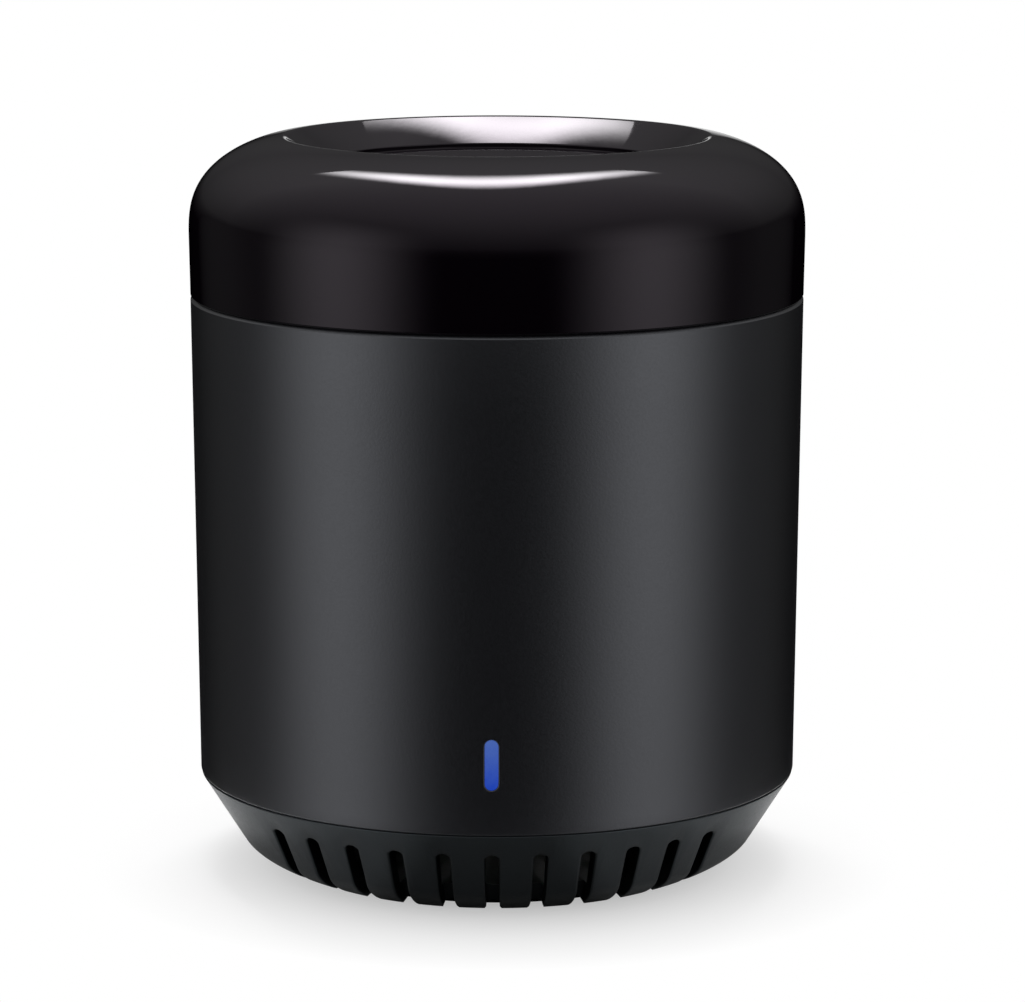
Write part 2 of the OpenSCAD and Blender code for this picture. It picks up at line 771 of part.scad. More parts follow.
// A meander of upright bars joined at their tops and feet in turn
module wifi_antenna() {
    top_z = wifi_z + wifi_h - antenna_margin;
    pitch = (antenna_w - antenna_line) / (antenna_bars - 1);
    color([0.85, 0.7, 0.35]) union() {
        for (i = [0 : antenna_bars - 1])
            block((i - (antenna_bars - 1) / 2) * pitch, wifi_y - antenna_t / 2, top_z - antenna_h,
                antenna_line, antenna_t, antenna_h);
        for (i = [0 : antenna_bars - 2])
            block((i + 0.5 - (antenna_bars - 1) / 2) * pitch, wifi_y - antenna_t / 2,
                i % 2 == 0 ? top_z - antenna_line : top_z - antenna_h,
                pitch, antenna_t, antenna_line);
    }
}

module wifi_header() {
    pin_y_mid = wifi_y + wifi_t + wifi_pin / 2;
    color([0.1, 0.1, 0.1]) difference() {
        block(0, pin_y_mid - wifi_pin / 2, main_top_z, wifi_pins_n * wifi_pin_pitch, header_d, header_h);
        for (i = [0 : wifi_pins_n - 1])
            block(wifi_pin_x(i), pin_y_mid, main_top_z - over, wifi_pin, wifi_pin, header_h + 2 * over);
    }
}

module wifi_pins() {
    low_z = main_board_z - wifi_pin_down;
    color([0.85, 0.7, 0.35]) for (i = [0 : wifi_pins_n - 1])
        block(wifi_pin_x(i), wifi_y + wifi_t + wifi_pin / 2, low_z,
            wifi_pin, wifi_pin, wifi_z + wifi_pin_up - low_z);
}

module flash_chip() {
    color([0.08, 0.08, 0.08]) block(flash_x, flash_y, main_top_z, flash_w, flash_l, flash_h);
}

module flash_chip_leads() {
    reach = (flash_l + flash_lead_l) / 2;
    color([0.78, 0.78, 0.8]) for (i = [0 : flash_leads_n - 1], side = [-1, 1])
        block(flash_x + (i - (flash_leads_n - 1) / 2) * flash_lead_pitch, flash_y + side * reach, main_top_z,
            flash_lead_w, flash_lead_l, flash_lead_t);
}

module voltage_regulator() {
    color([0.08, 0.08, 0.08])
        block(regulator_x, regulator_y, main_top_z, regulator_w, regulator_l, regulator_h);
}

module regulator_leads() {
    reach = (regulator_l + regulator_lead_l) / 2;
    color([0.78, 0.78, 0.8]) {
        for (i = [-1, 0, 1])
            block(regulator_x + i * regulator_lead_pitch, regulator_y - reach, main_top_z,
                regulator_lead_w, regulator_lead_l, regulator_lead_t);
        block(regulator_x, regulator_y + reach, main_top_z,
            regulator_tab_w, regulator_lead_l, regulator_lead_t);
    }
}

// A square flat block with cut corners
module cut_square(w, corner) {
    a = w / 2;
    b = w / 2 - corner;
    polygon([[-b, -a], [b, -a], [a, -b], [a, b], [b, a], [-b, a], [-a, b], [-a, -b]]);
}

module power_inductor() {
    color([0.2, 0.2, 0.21]) translate([inductor_x, inductor_y, main_top_z])
        linear_extrude(inductor_h) cut_square(inductor_w, inductor_corner);
}

module capacitor_base() {
    color([0.08, 0.08, 0.08]) translate([can_x, can_y, main_top_z])
        linear_extrude(can_base_t) cut_square(can_base_w, can_corner);
}

module capacitor_can() {
    r = can_d / 2;
    color([0.8, 0.8, 0.82]) translate([can_x, can_y, main_top_z + can_base_t])
        turned([[0, 0], [r, 0], [r, can_groove_z - can_groove], [r - can_groove, can_groove_z],
            [r, can_groove_z + can_groove], [r, can_h - can_edge], [r - can_edge, can_h], [0, can_h]]);
}

// A row of small chips round one side of the main board
module chips(side) {
    for (a = chip_angles) rotate([0, 0, side * a])
        block(0, -chip_ring_r, main_top_z, chip_l, chip_w, chip_h);
}

module ceramic_capacitors() {
    color([0.7, 0.55, 0.4]) chips(-1);
}

module chip_resistors() {
    color([0.1, 0.1, 0.12]) chips(1);
}

// An emitter that stands on its flange and points up
module emitter_shape() {
    r = emitter_d / 2;
    color([0.55, 0.6, 0.75]) rotate_extrude($fn = small_fn) polygon(concat(
        [[0, 0], [emitter_flange_d / 2, 0], [emitter_flange_d / 2, emitter_flange_t], [r, emitter_flange_t]],
        [for (i = [0 : emitter_steps])
            let (t = 90 * i / emitter_steps)
            [i == emitter_steps ? 0 : r * cos(t), emitter_l - r + r * sin(t)]]));
}

// An outward emitter lies on the upper board at its angle
module outward_emitter(i) {
    rotate([0, 0, emitter_angles[i]]) translate([0, -emitter_back_r, emitter_z]) rotate([90, 0, 0])
        emitter_shape();
}

module ir_emitter_1() outward_emitter(0);
module ir_emitter_2() outward_emitter(1);
module ir_emitter_3() outward_emitter(2);
module ir_emitter_4() outward_emitter(3);
module ir_emitter_5() outward_emitter(4);
module ir_emitter_6() outward_emitter(5);

module ir_emitter_up() {
    translate([0, 0, ir_top_z]) emitter_shape();
}

module ir_emitter_leads() {
    low_z = ir_board_z - lead_down;
    bend_l = lead_back + lead_w / 2;
    color([0.78, 0.78, 0.8]) {
        for (a = emitter_angles, side = [-1, 1]) rotate([0, 0, a]) union() {
            block(side * lead_pitch / 2, -(emitter_back_r - lead_back), low_z,
                lead_w, lead_w, emitter_z + lead_w / 2 - low_z);
            block(side * lead_pitch / 2, -(emitter_back_r - bend_l / 2), emitter_z - lead_w / 2,
                lead_w, bend_l, lead_w);
        }
        for (side = [-1, 1])
            block(side * lead_pitch / 2, 0, low_z, lead_w, lead_w, ir_top_z - low_z);
    }
}

module ir_receiver() {
    color([0.12, 0.1, 0.12]) union() {
        block(0, receiver_y, ir_top_z + receiver_lift, receiver_w, receiver_d, receiver_h);
        translate([0, receiver_y - receiver_d / 2, ir_top_z + receiver_lift + receiver_h / 2])
            rotate([90, 0, 0]) translate([0, 0, -receiver_lens_out]) rotate_extrude($fn = small_fn)
                polygon(concat([[0, 0]], [for (i = [0 : emitter_steps])
                    let (t = 90 * i / emitter_steps)
                    [i == emitter_steps ? 0 : receiver_lens_r * cos(t), receiver_lens_out * (1 + sin(t))]]));
    }
}

module ir_receiver_leads() {
    low_z = ir_board_z + slip;
    color([0.78, 0.78, 0.8]) for (side = [-1, 0, 1])
        block(side * lead_pitch, receiver_y, low_z,
            lead_w, lead_w, ir_top_z + receiver_lift - low_z);
}

module led_drivers() {
    color([0.08, 0.08, 0.08]) for (a = driver_angles) rotate([0, 0, a])
        block(0, -ir_chip_ring_r, ir_top_z, driver_w, driver_l, driver_h);
}

module led_resistors() {
    color([0.1, 0.1, 0.12]) for (a = led_resistor_angles) rotate([0, 0, a])
        block(0, -ir_chip_ring_r, ir_top_z, chip_w, chip_l, chip_h);
}

// A socket that stands on z = 0 with its mouth up
module link_socket() {
    color([0.93, 0.92, 0.86]) difference() {
        block(0, 0, 0, link_w, link_d, link_h);
        block(0, 0, link_floor, link_w - 2 * link_wall, link_d - 2 * link_wall, link_h);
    }
}

// The plug that fills the socket and stands out of it
module link_plug() {
    color([0.88, 0.87, 0.8])
        block(0, 0, link_floor, link_w - 2 * (link_wall + fit), link_d - 2 * (link_wall + fit),
            link_h - link_floor + link_plug_out);
}

module link_socket_lower() {
    translate([0, link_y, main_top_z]) link_socket();
}

module link_plug_lower() {
    translate([0, link_y, main_top_z]) link_plug();
}

module link_socket_upper() {
    translate([0, link_y, ir_board_z]) mirror([0, 0, 1]) link_socket();
}

module link_plug_upper() {
    translate([0, link_y, ir_board_z]) mirror([0, 0, 1]) link_plug();
}

module link_wires() {
    low_z = main_top_z + link_h + link_plug_out;
    high_z = ir_board_z - link_h - link_plug_out;
    color([0.7, 0.1, 0.1]) for (i = [0 : wires_n - 1])
        translate([(i - (wires_n - 1) / 2) * wire_pitch, link_y, low_z])
            cylinder(d = wire_d, h = high_z - low_z, $fn = small_fn);
}

// A pan-headed screw whose head sits under z = 0 and whose shank points up
module screw(length) {
    color([0.7, 0.7, 0.72]) difference() {
        union() {
            translate([0, 0, -head_t]) cylinder(d = head_d, h = head_t, $fn = small_fn);
            cylinder(d = pilot_d, h = length, $fn = small_fn);
        }
        translate([0, 0, -head_t - over])
            cylinder(d = head_socket_d, h = head_socket_depth + over, $fn = head_socket_sides);
    }
}

module base_screws() {
    at_columns() translate([0, 0, screw_seat_z]) screw(base_screw_l);
}

module board_screws() {
    at_columns() translate([0, 0, ir_top_z]) mirror([0, 0, 1]) screw(board_screw_l);
}

top_cover();
sleeve();
base();
foot_pad();
light_pipe();
board_frame();
main_board();
ir_board();
usb_shell();
usb_tongue();
usb_contacts();
reset_switch_body();
reset_switch_cover();
reset_switch_terminals();
reset_snap_dome();
reset_plunger();
status_led();
wifi_board();
wifi_chip();
wifi_crystal();
wifi_shield();
wifi_antenna();
wifi_header();
wifi_pins();
flash_chip();
flash_chip_leads();
voltage_regulator();
regulator_leads();
power_inductor();
capacitor_can();
capacitor_base();
ceramic_capacitors();
chip_resistors();
ir_emitter_1();
ir_emitter_2();
ir_emitter_3();
ir_emitter_4();
ir_emitter_5();
ir_emitter_6();
ir_emitter_up();
ir_emitter_leads();
ir_receiver();
ir_receiver_leads();
led_drivers();
led_resistors();
link_socket_lower();
link_plug_lower();
link_wires();
link_plug_upper();
link_socket_upper();
base_screws();
board_screws();
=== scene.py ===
"""Smart IR blaster: the looks of a small upright cylinder that repeats remote-control codes round a room.

Metres, +Z up, the front with the status light faces -Y, and the origin is the centre of the foot.
"""
from math import acos, atan2, cos, hypot, pi, radians, sin, sqrt, tan

import bmesh
import bpy
from bpy.props import FloatProperty, FloatVectorProperty, IntProperty, PointerProperty
from mathutils import Matrix, Vector


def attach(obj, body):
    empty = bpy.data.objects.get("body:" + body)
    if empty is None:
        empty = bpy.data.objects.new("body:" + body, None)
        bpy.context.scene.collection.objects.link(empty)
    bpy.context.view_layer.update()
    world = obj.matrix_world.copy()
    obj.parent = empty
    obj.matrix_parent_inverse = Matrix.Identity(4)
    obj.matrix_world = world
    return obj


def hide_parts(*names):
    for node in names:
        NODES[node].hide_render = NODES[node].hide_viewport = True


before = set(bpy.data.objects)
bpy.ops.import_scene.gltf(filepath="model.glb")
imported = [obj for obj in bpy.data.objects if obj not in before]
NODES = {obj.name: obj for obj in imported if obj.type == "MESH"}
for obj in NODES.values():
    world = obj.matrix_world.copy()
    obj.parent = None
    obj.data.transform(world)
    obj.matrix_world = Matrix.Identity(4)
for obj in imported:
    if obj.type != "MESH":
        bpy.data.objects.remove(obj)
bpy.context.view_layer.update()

bl_info = {
    "name": "Smart IR blaster",
    "version": (1, 0, 0),
    "blender": (4, 5, 0),
    "location": "3D View > Sidebar > IR blaster",
    "description": "Builds the cover, sleeve, vented base, inlet, boards and studio of a smart IR blaster",
    "category": "Add Mesh",
}

MM = 0.001


def linear(code):
    """Turns an sRGB hex colour into linear RGBA."""
    parts = [int(code[i:i + 2], 16) / 255 for i in (1, 3, 5)]
    return tuple(c / 12.92 if c <= 0.04045 else ((c + 0.055) / 1.055) ** 2.4 for c in parts) + (1.0,)


def length(name, description, value):
    """A length property whose default is given in millimetres."""
    return FloatProperty(name=name, description=description, default=value * MM, unit="LENGTH",
                         subtype="DISTANCE")


def angle(name, description, value):
    """An angle property whose default is given in degrees."""
    return FloatProperty(name=name, description=description, default=radians(value), subtype="ANGLE")


def colour(name, description, code):
    """A colour property whose default is an sRGB hex value."""
    return FloatVectorProperty(name=name, description=description, default=linear(code), size=4,
                               min=0, max=1, subtype="COLOR")


def amount(name, description, value):
    """A plain number that is never under zero."""
    return FloatProperty(name=name, description=description, default=value, min=0)


class CoverSizes(bpy.types.PropertyGroup):
    """Sizes of the glossy top cover."""
    body_d: length("Body diameter", "Widest diameter, round the shoulder", 49)
    wall: length("Wall", "Thickness of the cover", 1.6)
    height: length("Height", "From the seam to the crest", 12.56)
    seam_edge: length("Seam edge", "Bevel round the foot of the cover", 0.12)
    shoulder_h: length("Shoulder height", "Height of the rounded shoulder", 7.6)
    crest_d: length("Crest diameter", "Diameter of the crest round the dish", 34.1)
    rim_r: length("Rim radius", "Radius of the rim at the crest", 0.6)
    dish_d: length("Dish floor diameter", "Diameter of the dish's floor", 27.5)
    dish_depth: length("Dish depth", "Depth of the dish under the crest", 2.4)
    dish_step: length("Dish step", "Height of the upright step round the dish's floor", 0.4)
    spigot_h: length("Spigot height", "How far the cover's spigot reaches into the sleeve", 2.4)


class SleeveSizes(bpy.types.PropertyGroup):
    """Sizes of the satin sleeve."""
    top_d: length("Top diameter", "Diameter at the seam with the cover", 48.84)
    foot_d: length("Foot diameter", "Diameter at the seam with the base", 48.06)
    height: length("Height", "From the base to the cover", 38.5)
    wall: length("Wall", "Thickness of the sleeve", 1.8)
    chamfer: length("Seam chamfer", "Chamfer round the top edge", 0.3)
    foot_edge: length("Foot edge", "Bevel round the foot", 0.15)
    light_w: length("Light slot width", "Width of the status light's slot", 1)
    light_h: length("Light slot height", "Height of the status light's slot", 3.9)
    light_up: length("Light slot place", "Middle of the slot over the sleeve's foot", 5.6)
    ledge_down: length("Ledge place", "Top of the inner ledge below the cover's spigot", 1.9)
    ledge_in: length("Ledge width", "How far the inner ledge stands in", 2.2)
    ledge_h: length("Ledge height", "Height of the inner ledge's edge", 1.6)
    ledge_run: length("Ledge slope", "Height of the slope under the inner ledge", 2.2)


class BaseSizes(bpy.types.PropertyGroup):
    """Sizes of the vented base and its foot pad."""
    height: length("Height", "From the rim to the sleeve", 7.6)
    wall: length("Wall", "Thickness square to the cone", 1.6)
    floor_t: length("Floor thickness", "Thickness of the floor over the pad", 1.4)
    corner_d: length("Corner diameter", "Diameter at the lower corner of the cone", 41.38)
    corner_h: length("Corner height", "Height of the lower corner of the cone", 2.27)
    foot_d: length("Foot diameter", "Diameter of the flat foot rim", 33.8)
    spigot_h: length("Spigot height", "How far the base's spigot reaches into the sleeve", 2.6)
    vents: IntProperty(name="Vents", description="Vent slots in each group, front and rear", default=11,
                       min=1, max=13)
    vent_pitch: angle("Vent pitch", "Angle from a vent to the next", 9.5)
    vent_turn: FloatProperty(name="Vent turn", description="Share of its angle that a cut turns by",
                             default=0.5, min=0, max=1)
    vent_w: length("Vent width", "Width of a vent slot", 1.05)
    vent_top: length("Vent top", "Height of the top of a vent slot", 5.77)
    arch_r: length("Arch radius", "Radius of the arch under the rim at each vent", 0.65)
    edge_r: length("Rib edge radius", "Rounding of the ribs between the vents", 0.22)
    pad_d: length("Pad diameter", "Diameter of the rubber pad", 29.6)
    pad_proud: length("Pad stand", "How far the pad stands proud of the rim", 0.2)
    pad_t: length("Pad thickness", "Thickness of the rubber pad", 0.9)
    boss_ring_d: length("Boss ring", "Diameter of the ring of screw bosses", 25.2)
    boss_d: length("Boss diameter", "Diameter of a screw boss", 6)
    head_d: length("Screw hole", "Diameter of the hole for a screw's head", 4.2)
    head_h: length("Screw hole depth", "Depth of the hole for a screw's head", 3.4)
    bore_d: length("Screw bore", "Diameter of the bore for a screw's shank", 2.4)


class InletSizes(bpy.types.PropertyGroup):
    """Sizes of the openings at the rear, placed from the top of the main board."""
    board_t: length("Board thickness", "Thickness of the main board", 1.2)
    inlet_up: length("Inlet place", "Middle of the inlet's window over the board", 1.25)
    inlet_w: length("Inlet width", "Width of the inlet's window", 8.6)
    inlet_h: length("Inlet height", "Height of the inlet's window", 3.6)
    corner_r: length("Inlet corners", "Corner radius of the inlet's window", 0.8)
    reset_x: length("Reset place", "Sideways place of the reset pinhole", 8.6)
    reset_up: length("Reset height", "Middle of the reset pinhole over the board", 1.4)
    reset_d: length("Reset diameter", "Diameter of the reset pinhole", 1.6)


class FinishColours(bpy.types.PropertyGroup):
    """Colours of the outer finishes."""
    cover: colour("Cover", "Glossy infrared-passing cover", "#0a050b")
    sleeve: colour("Sleeve", "Satin sleeve", "#0b0b0e")
    base: colour("Base", "Black base", "#080a0b")
    light_top: colour("Light, top", "Status light at its upper end", "#4560a5")
    light_foot: colour("Light, foot", "Status light at its lower end", "#1e3ea6")


class StudioSettings(bpy.types.PropertyGroup):
    """The camera's place and the levels of the lamps."""
    camera_far: length("Camera distance", "How far the camera stands in front of the object", 338.94)
    camera_up: length("Camera height", "Height of the camera over the foot", 91.56)
    camera_side: angle("Camera side", "How far round to the right the camera stands", 1.0)
    camera_down: angle("Camera tilt", "How far down the camera looks", 10.4)
    lens: amount("Lens", "Focal length in millimetres", 150.24)
    shift: FloatProperty(name="Shift", description="Sideways shift in pixels", default=15.5)
    top: amount("Top softbox", "Radiance of the overhead softbox", 22.0)
    side: amount("Side softboxes", "Radiance of the two side softboxes", 1.12)
    room: amount("Room", "Level of the ceiling's soft light", 0.72)


GROUPS = {"irb_cover": CoverSizes, "irb_sleeve": SleeveSizes, "irb_base": BaseSizes, "irb_inlet": InletSizes,
          "irb_colours": FinishColours, "irb_studio": StudioSettings}

# Width of the picture that the camera's shift is measured in, and the width of the camera's sensor
PICTURE_PX = 1025
SENSOR_MM = 36

# Sizes that pieces share: overrun of a cut, gap of pieces that slip into each other, radius of a small edge,
# distance under which points are one, and a step that keeps two faces out of one plane
OVER = 1 * MM
SLIP = 0.1 * MM
EDGE = 0.08 * MM
WELD = 0.0005 * MM
HAIR = 0.02 * MM

# Spigots of the cover and the base: wall, and the snap bead's height, stand and place from the seam
SPIGOT = {"wall": 1.2 * MM, "bead_h": 0.5 * MM, "bead_out": 0.3 * MM, "bead_up": 0.9 * MM}

# Powers of the cosine and the sine that square up the shoulder's curve
SHOULDER_POWERS = (1.316, 0.741)

# How far along the base's cone line, as a share of the corner's height, its lower fillet is pulled
FILLET_PULL = 0.48

# Places on the cone and on the fillet, as shares, where a vent's sides have points
CONE_SHARES = (0.66, 0.33, 0.0)
FILLET_SHARES = (0.88, 0.76, 0.64, 0.5, 0.36, 0.22, 0.1, 0.0)

# Size of a vent's rounding at the foot rim, as a share of that on the cone, and a cut's depth in walls
RIM_ROUND_SHARE = 0.35
VENT_DEPTH_SHARE = 1.6

# How a rounded mouth opens: angles from the face, where it ends, to the wall, where it starts
MOUTH = [radians(a) for a in (76, 54, 36, 18, 0)]

# How far a tool reaches inwards past the sleeve's wall, and the play of the light guide in its slot
PAST_WALL = 2.2 * MM
LIGHT_SLIP = 0.06 * MM

# Heights over the sleeve's foot of the rows of points that keep its faces small beside the openings
SLEEVE_ROWS = [up * MM for up in (1, 2, 3.2, 3.5, 5, 6.2, 7.7, 8, 10, 14, 20, 26, 32)]

# Directions of the screw bosses, in degrees round from the front
BOSS_ANGLES = (60, 120, 240, 300)

# Share of a side that a rounded corner may take
CORNER_SHARE = 0.45

# Range in which most of a noise's values lie
NOISE_RANGE = (0.3, 0.7)

# Ring on which the chips stand, half the length of a chip's bare body, and half the width of the row of wires
CHIP_RING = 17.33 * MM
CHIP_BODY = 0.5 * MM
WIRE_ROW = 4 * MM

# Copper tracks under the solder mask: pitch, thickness, and where an edge fades, as shares of the pitch
TRACK_PITCH = 2.2 * MM
TRACK_T = 0.035 * MM
TRACK_EDGE = (0.06, 0.11)

# White card under the object: its radius and depth, the distances over which it fades to white for the camera
# and for gloss, and those to either side of the middle over which the painted shade that gloss sees there
# fades out
CARD_R = 34 * MM
CARD_DOWN = 0.025 * MM
CARD_FADE = (15 * MM, 33 * MM)
CARD_GLOSS = (31 * MM, CARD_R)
CARD_PAINTED_SHADE_SPAN = (7 * MM, 11 * MM)

# The card's tone, how much darker gloss sees its middle as painted shade, and how white the camera sees it
# beside the foot
CARD_TONE = 0.9
CARD_PAINTED_SHADE = 0.57
CARD_NEAR = 0.45

# Point that the softboxes face
TARGET = Vector((0, -10 * MM, 50 * MM))

# What makes a finish a metal, the kinds of node that come up most, and the geometry trees that main builds
METAL = {"Metallic": 1.0}
MATHS = "ShaderNodeMath"
RANGE = "ShaderNodeMapRange"
MIX = "ShaderNodeMix"
SPLIT = "ShaderNodeSeparateXYZ"
TREES = {}


def fill(node, inputs):
    """Sets or links a node's inputs: those that a dictionary names, or the live ones in order."""
    if isinstance(inputs, dict):
        pairs = [(node.inputs[key], value) for key, value in inputs.items()]
    else:
        pairs = zip([socket for socket in node.inputs if socket.enabled], inputs)
    for socket, value in pairs:
        if isinstance(value, bpy.types.NodeSocket):
            node.id_data.links.new(value, socket)
        else:
            socket.default_value = value
    return node


def add(tree, kind, inputs=(), **settings):
    """Adds a node with its settings and its inputs."""
    node = tree.nodes.new(kind)
    for key, value in settings.items():
        setattr(node, key, value)
    return fill(node, inputs)


def field(tree, kind, inputs=(), **settings):
    """Adds a node and gives its first live output."""
    return next(socket for socket in add(tree, kind, inputs, **settings).outputs if socket.enabled)


def surface(name):
    """A new material with its tree, its shader and the object's own coordinates."""
    made = bpy.data.materials.new(name)
    made.use_nodes = True
    tree = made.node_tree
    spot = add(tree, "ShaderNodeTexCoord").outputs["Object"]
    return made, tree, tree.nodes["Principled BSDF"], spot


def uneven(tree, spot, size, low, high, detail=2.0):
    """A value that wanders from low to high over patches of about size, in millimetres."""
    cloud = field(tree, "ShaderNodeTexNoise", {"Vector": spot, "Scale": 1 / (size * MM), "Detail": detail})
    return field(tree, RANGE, (cloud, *NOISE_RANGE, low, high))


def moulded(name, tone, second, roughness, grain, bump, patch, stretch=(1, 1, 1), sockets=()):
    """A moulded, stamped or drawn finish: two close tones in soft patches, and a grain with uneven gloss.

    grain and patch are sizes in millimetres, and stretch draws the pattern out where it is under 1.
    """
    made, tree, shader, spot = surface(name)
    tones = [linear(code) if isinstance(code, str) else code for code in (tone, second)]
    spot = field(tree, "ShaderNodeMapping", {"Vector": spot, "Scale": stretch})
    mixed = field(tree, MIX, (uneven(tree, spot, patch, 0, 1, 3.0), *tones), data_type="RGBA")
    fine = field(tree, "ShaderNodeTexNoise", {"Vector": spot, "Scale": 1 / (grain * MM), "Detail": 2.0})
    gloss = field(tree, RANGE, (fine, *NOISE_RANGE, *roughness))
    relief = field(tree, "ShaderNodeBump", {"Height": fine, "Strength": bump, "Distance": grain * MM / 4})
    fill(shader, {"Base Color": mixed, "Roughness": gloss, "Normal": relief, **dict(sockets)})
    return made


def dress(material, *names):
    """Gives a CAD node's material slots the finish."""
    for name in names:
        for slot in NODES[name].material_slots:
            slot.material = material


def new_object(name, mesh):
    """Links a mesh to the scene as an object at the origin."""
    made = bpy.data.objects.new(name, mesh)
    bpy.context.scene.collection.objects.link(made)
    return made


def profile_object(name, points):
    """A string of vertices at radius and height, closed on itself, for the turning tree to sweep."""
    mesh = bpy.data.meshes.new(name)
    ring = [*points, points[0]]
    mesh.from_pydata([(r, 0, z) for r, z in ring], [(i, i + 1) for i in range(len(ring) - 1)], [])
    return new_object(name, mesh)


def arc(x, y, radius, start, end, steps):
    """Points along an arc, both ends included."""
    angles = [start + (end - start) * k / steps for k in range(steps + 1)]
    return [(x + radius * cos(a), y + radius * sin(a)) for a in angles]


def softened(points, steps=4):
    """Rounds each corner that carries a radius as its third value."""
    result = []
    for i, point in enumerate(points):
        if len(point) == 2:
            result.append(point)
            continue
        corner = Vector(point[:2])
        before = Vector(points[i - 1][:2]) - corner
        after = Vector(points[(i + 1) % len(points)][:2]) - corner
        half = before.angle(after) / 2
        reach = min(point[2] / tan(half), CORNER_SHARE * before.length, CORNER_SHARE * after.length)
        radius = reach * tan(half)
        before.normalize()
        after.normalize()
        centre = corner + (before + after).normalized() * (radius / sin(half))
        first = corner + before * reach - centre
        turn = first.angle_signed(corner + after * reach - centre)
        for k in range(steps + 1):
            a = -turn * k / steps
            result.append((centre.x + first.x * cos(a) - first.y * sin(a),
                           centre.y + first.x * sin(a) + first.y * cos(a)))
    return result


def cutter_object(name, solids):
    """A closed tool from stacks of loops: each stack is joined loop to loop and capped at both ends."""
    mesh = bpy.data.meshes.new(name)
    work = bmesh.new()
    for loops in solids:
        rings = [[work.verts.new(p) for p in loop] for loop in loops]
        count = len(rings[0])
        for low, high in zip(rings, rings[1:]):
            for i in range(count):
                j = (i + 1) % count
                work.faces.new((low[i], low[j], high[j], high[i]))
        work.faces.new(rings[0][::-1])
        work.faces.new(rings[-1])
    bmesh.ops.triangulate(work, faces=[f for f in work.faces if len(f.verts) > 4])
    bmesh.ops.recalc_face_normals(work, faces=work.faces[:])
    work.to_mesh(mesh)
    work.free()
    return new_object(name, mesh)


def inputs_of(tree, **kinds):
    """Gives a geometry tree its named inputs and its output, and returns the inputs' sockets."""
    for name, kind in kinds.items():
        tree.interface.new_socket(name, in_out="INPUT", socket_type="NodeSocket" + kind)
    tree.interface.new_socket("Geometry", in_out="OUTPUT", socket_type="NodeSocketGeometry")
    return add(tree, "NodeGroupInput").outputs


def finish_tree(tree, geometry, material):
    """Ends a geometry tree in realised instances and a material."""
    whole = field(tree, "GeometryNodeRealizeInstances", {"Geometry": geometry})
    painted = field(tree, "GeometryNodeSetMaterial", {"Geometry": whole, "Material": material})
    add(tree, "NodeGroupOutput", {"Geometry": painted})
    return tree


def turning_tree():
    """Sweeps the vertices of a profile round Z: a grid's rows follow the profile and its columns the turn."""
    tree = bpy.data.node_groups.new("Turned body", "GeometryNodeTree")
    given = inputs_of(tree, Geometry="Geometry", Segments="Int", Material="Material")
    profile = given["Geometry"]
    rows = add(tree, "GeometryNodeAttributeDomainSize", {"Geometry": profile}).outputs["Point Count"]
    columns = field(tree, MATHS, (given["Segments"], 1.0), operation="ADD")
    grid = field(tree, "GeometryNodeMeshGrid",
                 {"Size X": 1.0, "Size Y": 1.0, "Vertices X": columns, "Vertices Y": rows})
    spot = field(tree, "GeometryNodeInputPosition")
    apart = add(tree, SPLIT, {"Vector": spot}).outputs
    shares = [field(tree, MATHS, (apart[axis], 0.5), operation="ADD") for axis in "XY"]
    turn = field(tree, MATHS, (shares[0], 2 * pi), operation="MULTIPLY")
    last = field(tree, MATHS, (rows, 1.0), operation="SUBTRACT")
    row = field(tree, MATHS, (shares[1], last), operation="MULTIPLY")
    whole_row = field(tree, MATHS, (row,), operation="ROUND")
    drawn = field(tree, "GeometryNodeSampleIndex", (profile, spot, whole_row), data_type="FLOAT_VECTOR")
    drawn = add(tree, SPLIT, {"Vector": drawn}).outputs
    sine, cosine = (field(tree, MATHS, (turn,), operation=way) for way in ("SINE", "COSINE"))
    ahead = field(tree, MATHS, (cosine, -1.0), operation="MULTIPLY")
    x, y = (field(tree, MATHS, (drawn["X"], way), operation="MULTIPLY") for way in (sine, ahead))
    place = field(tree, "ShaderNodeCombineXYZ", (x, y, drawn["Z"]))
    moved = field(tree, "GeometryNodeSetPosition", {"Geometry": grid, "Position": place})
    joined = field(tree, "GeometryNodeMergeByDistance", {"Geometry": moved, "Distance": 2 * WELD})
    return finish_tree(tree, joined, given["Material"])


def ring_tree(operation):
    """Sets copies of a tool evenly round Z, then cuts them from the body or joins them to it."""
    tree = bpy.data.node_groups.new("Ring of tools, " + operation.lower(), "GeometryNodeTree")
    given = inputs_of(tree, Geometry="Geometry", Tool="Object", Count="Int", Material="Material")
    tool = add(tree, "GeometryNodeObjectInfo", {"Object": given["Tool"]}).outputs["Geometry"]
    points = field(tree, "GeometryNodePoints", {"Count": given["Count"]})
    step = field(tree, MATHS, (2 * pi, given["Count"]), operation="DIVIDE")
    turn = field(tree, MATHS, (field(tree, "GeometryNodeInputIndex"), step), operation="MULTIPLY")
    turned_by = field(tree, "FunctionNodeAxisAngleToRotation", {"Axis": (0, 0, 1), "Angle": turn})
    ring = field(tree, "GeometryNodeInstanceOnPoints",
                 {"Points": points, "Instance": tool, "Rotation": turned_by})
    tools = field(tree, "GeometryNodeRealizeInstances", {"Geometry": ring})
    joined = add(tree, "GeometryNodeMeshBoolean", operation=operation, solver="MANIFOLD")
    cut_body, others = joined.inputs[:2]
    tree.links.new(given["Geometry"], cut_body if operation == "DIFFERENCE" else others)
    tree.links.new(tools, others)
    return finish_tree(tree, joined.outputs["Mesh"], given["Material"])


def modify(piece, tree, **values):
    """Adds a geometry tree to a piece and sets its inputs by their identifiers."""
    modifier = piece.modifiers.new(tree.name, "NODES")
    modifier.node_group = tree
    named = {s.name: s.identifier for s in tree.interface.items_tree if s.in_out == "INPUT"}
    for key, value in values.items():
        modifier[named[key]] = value


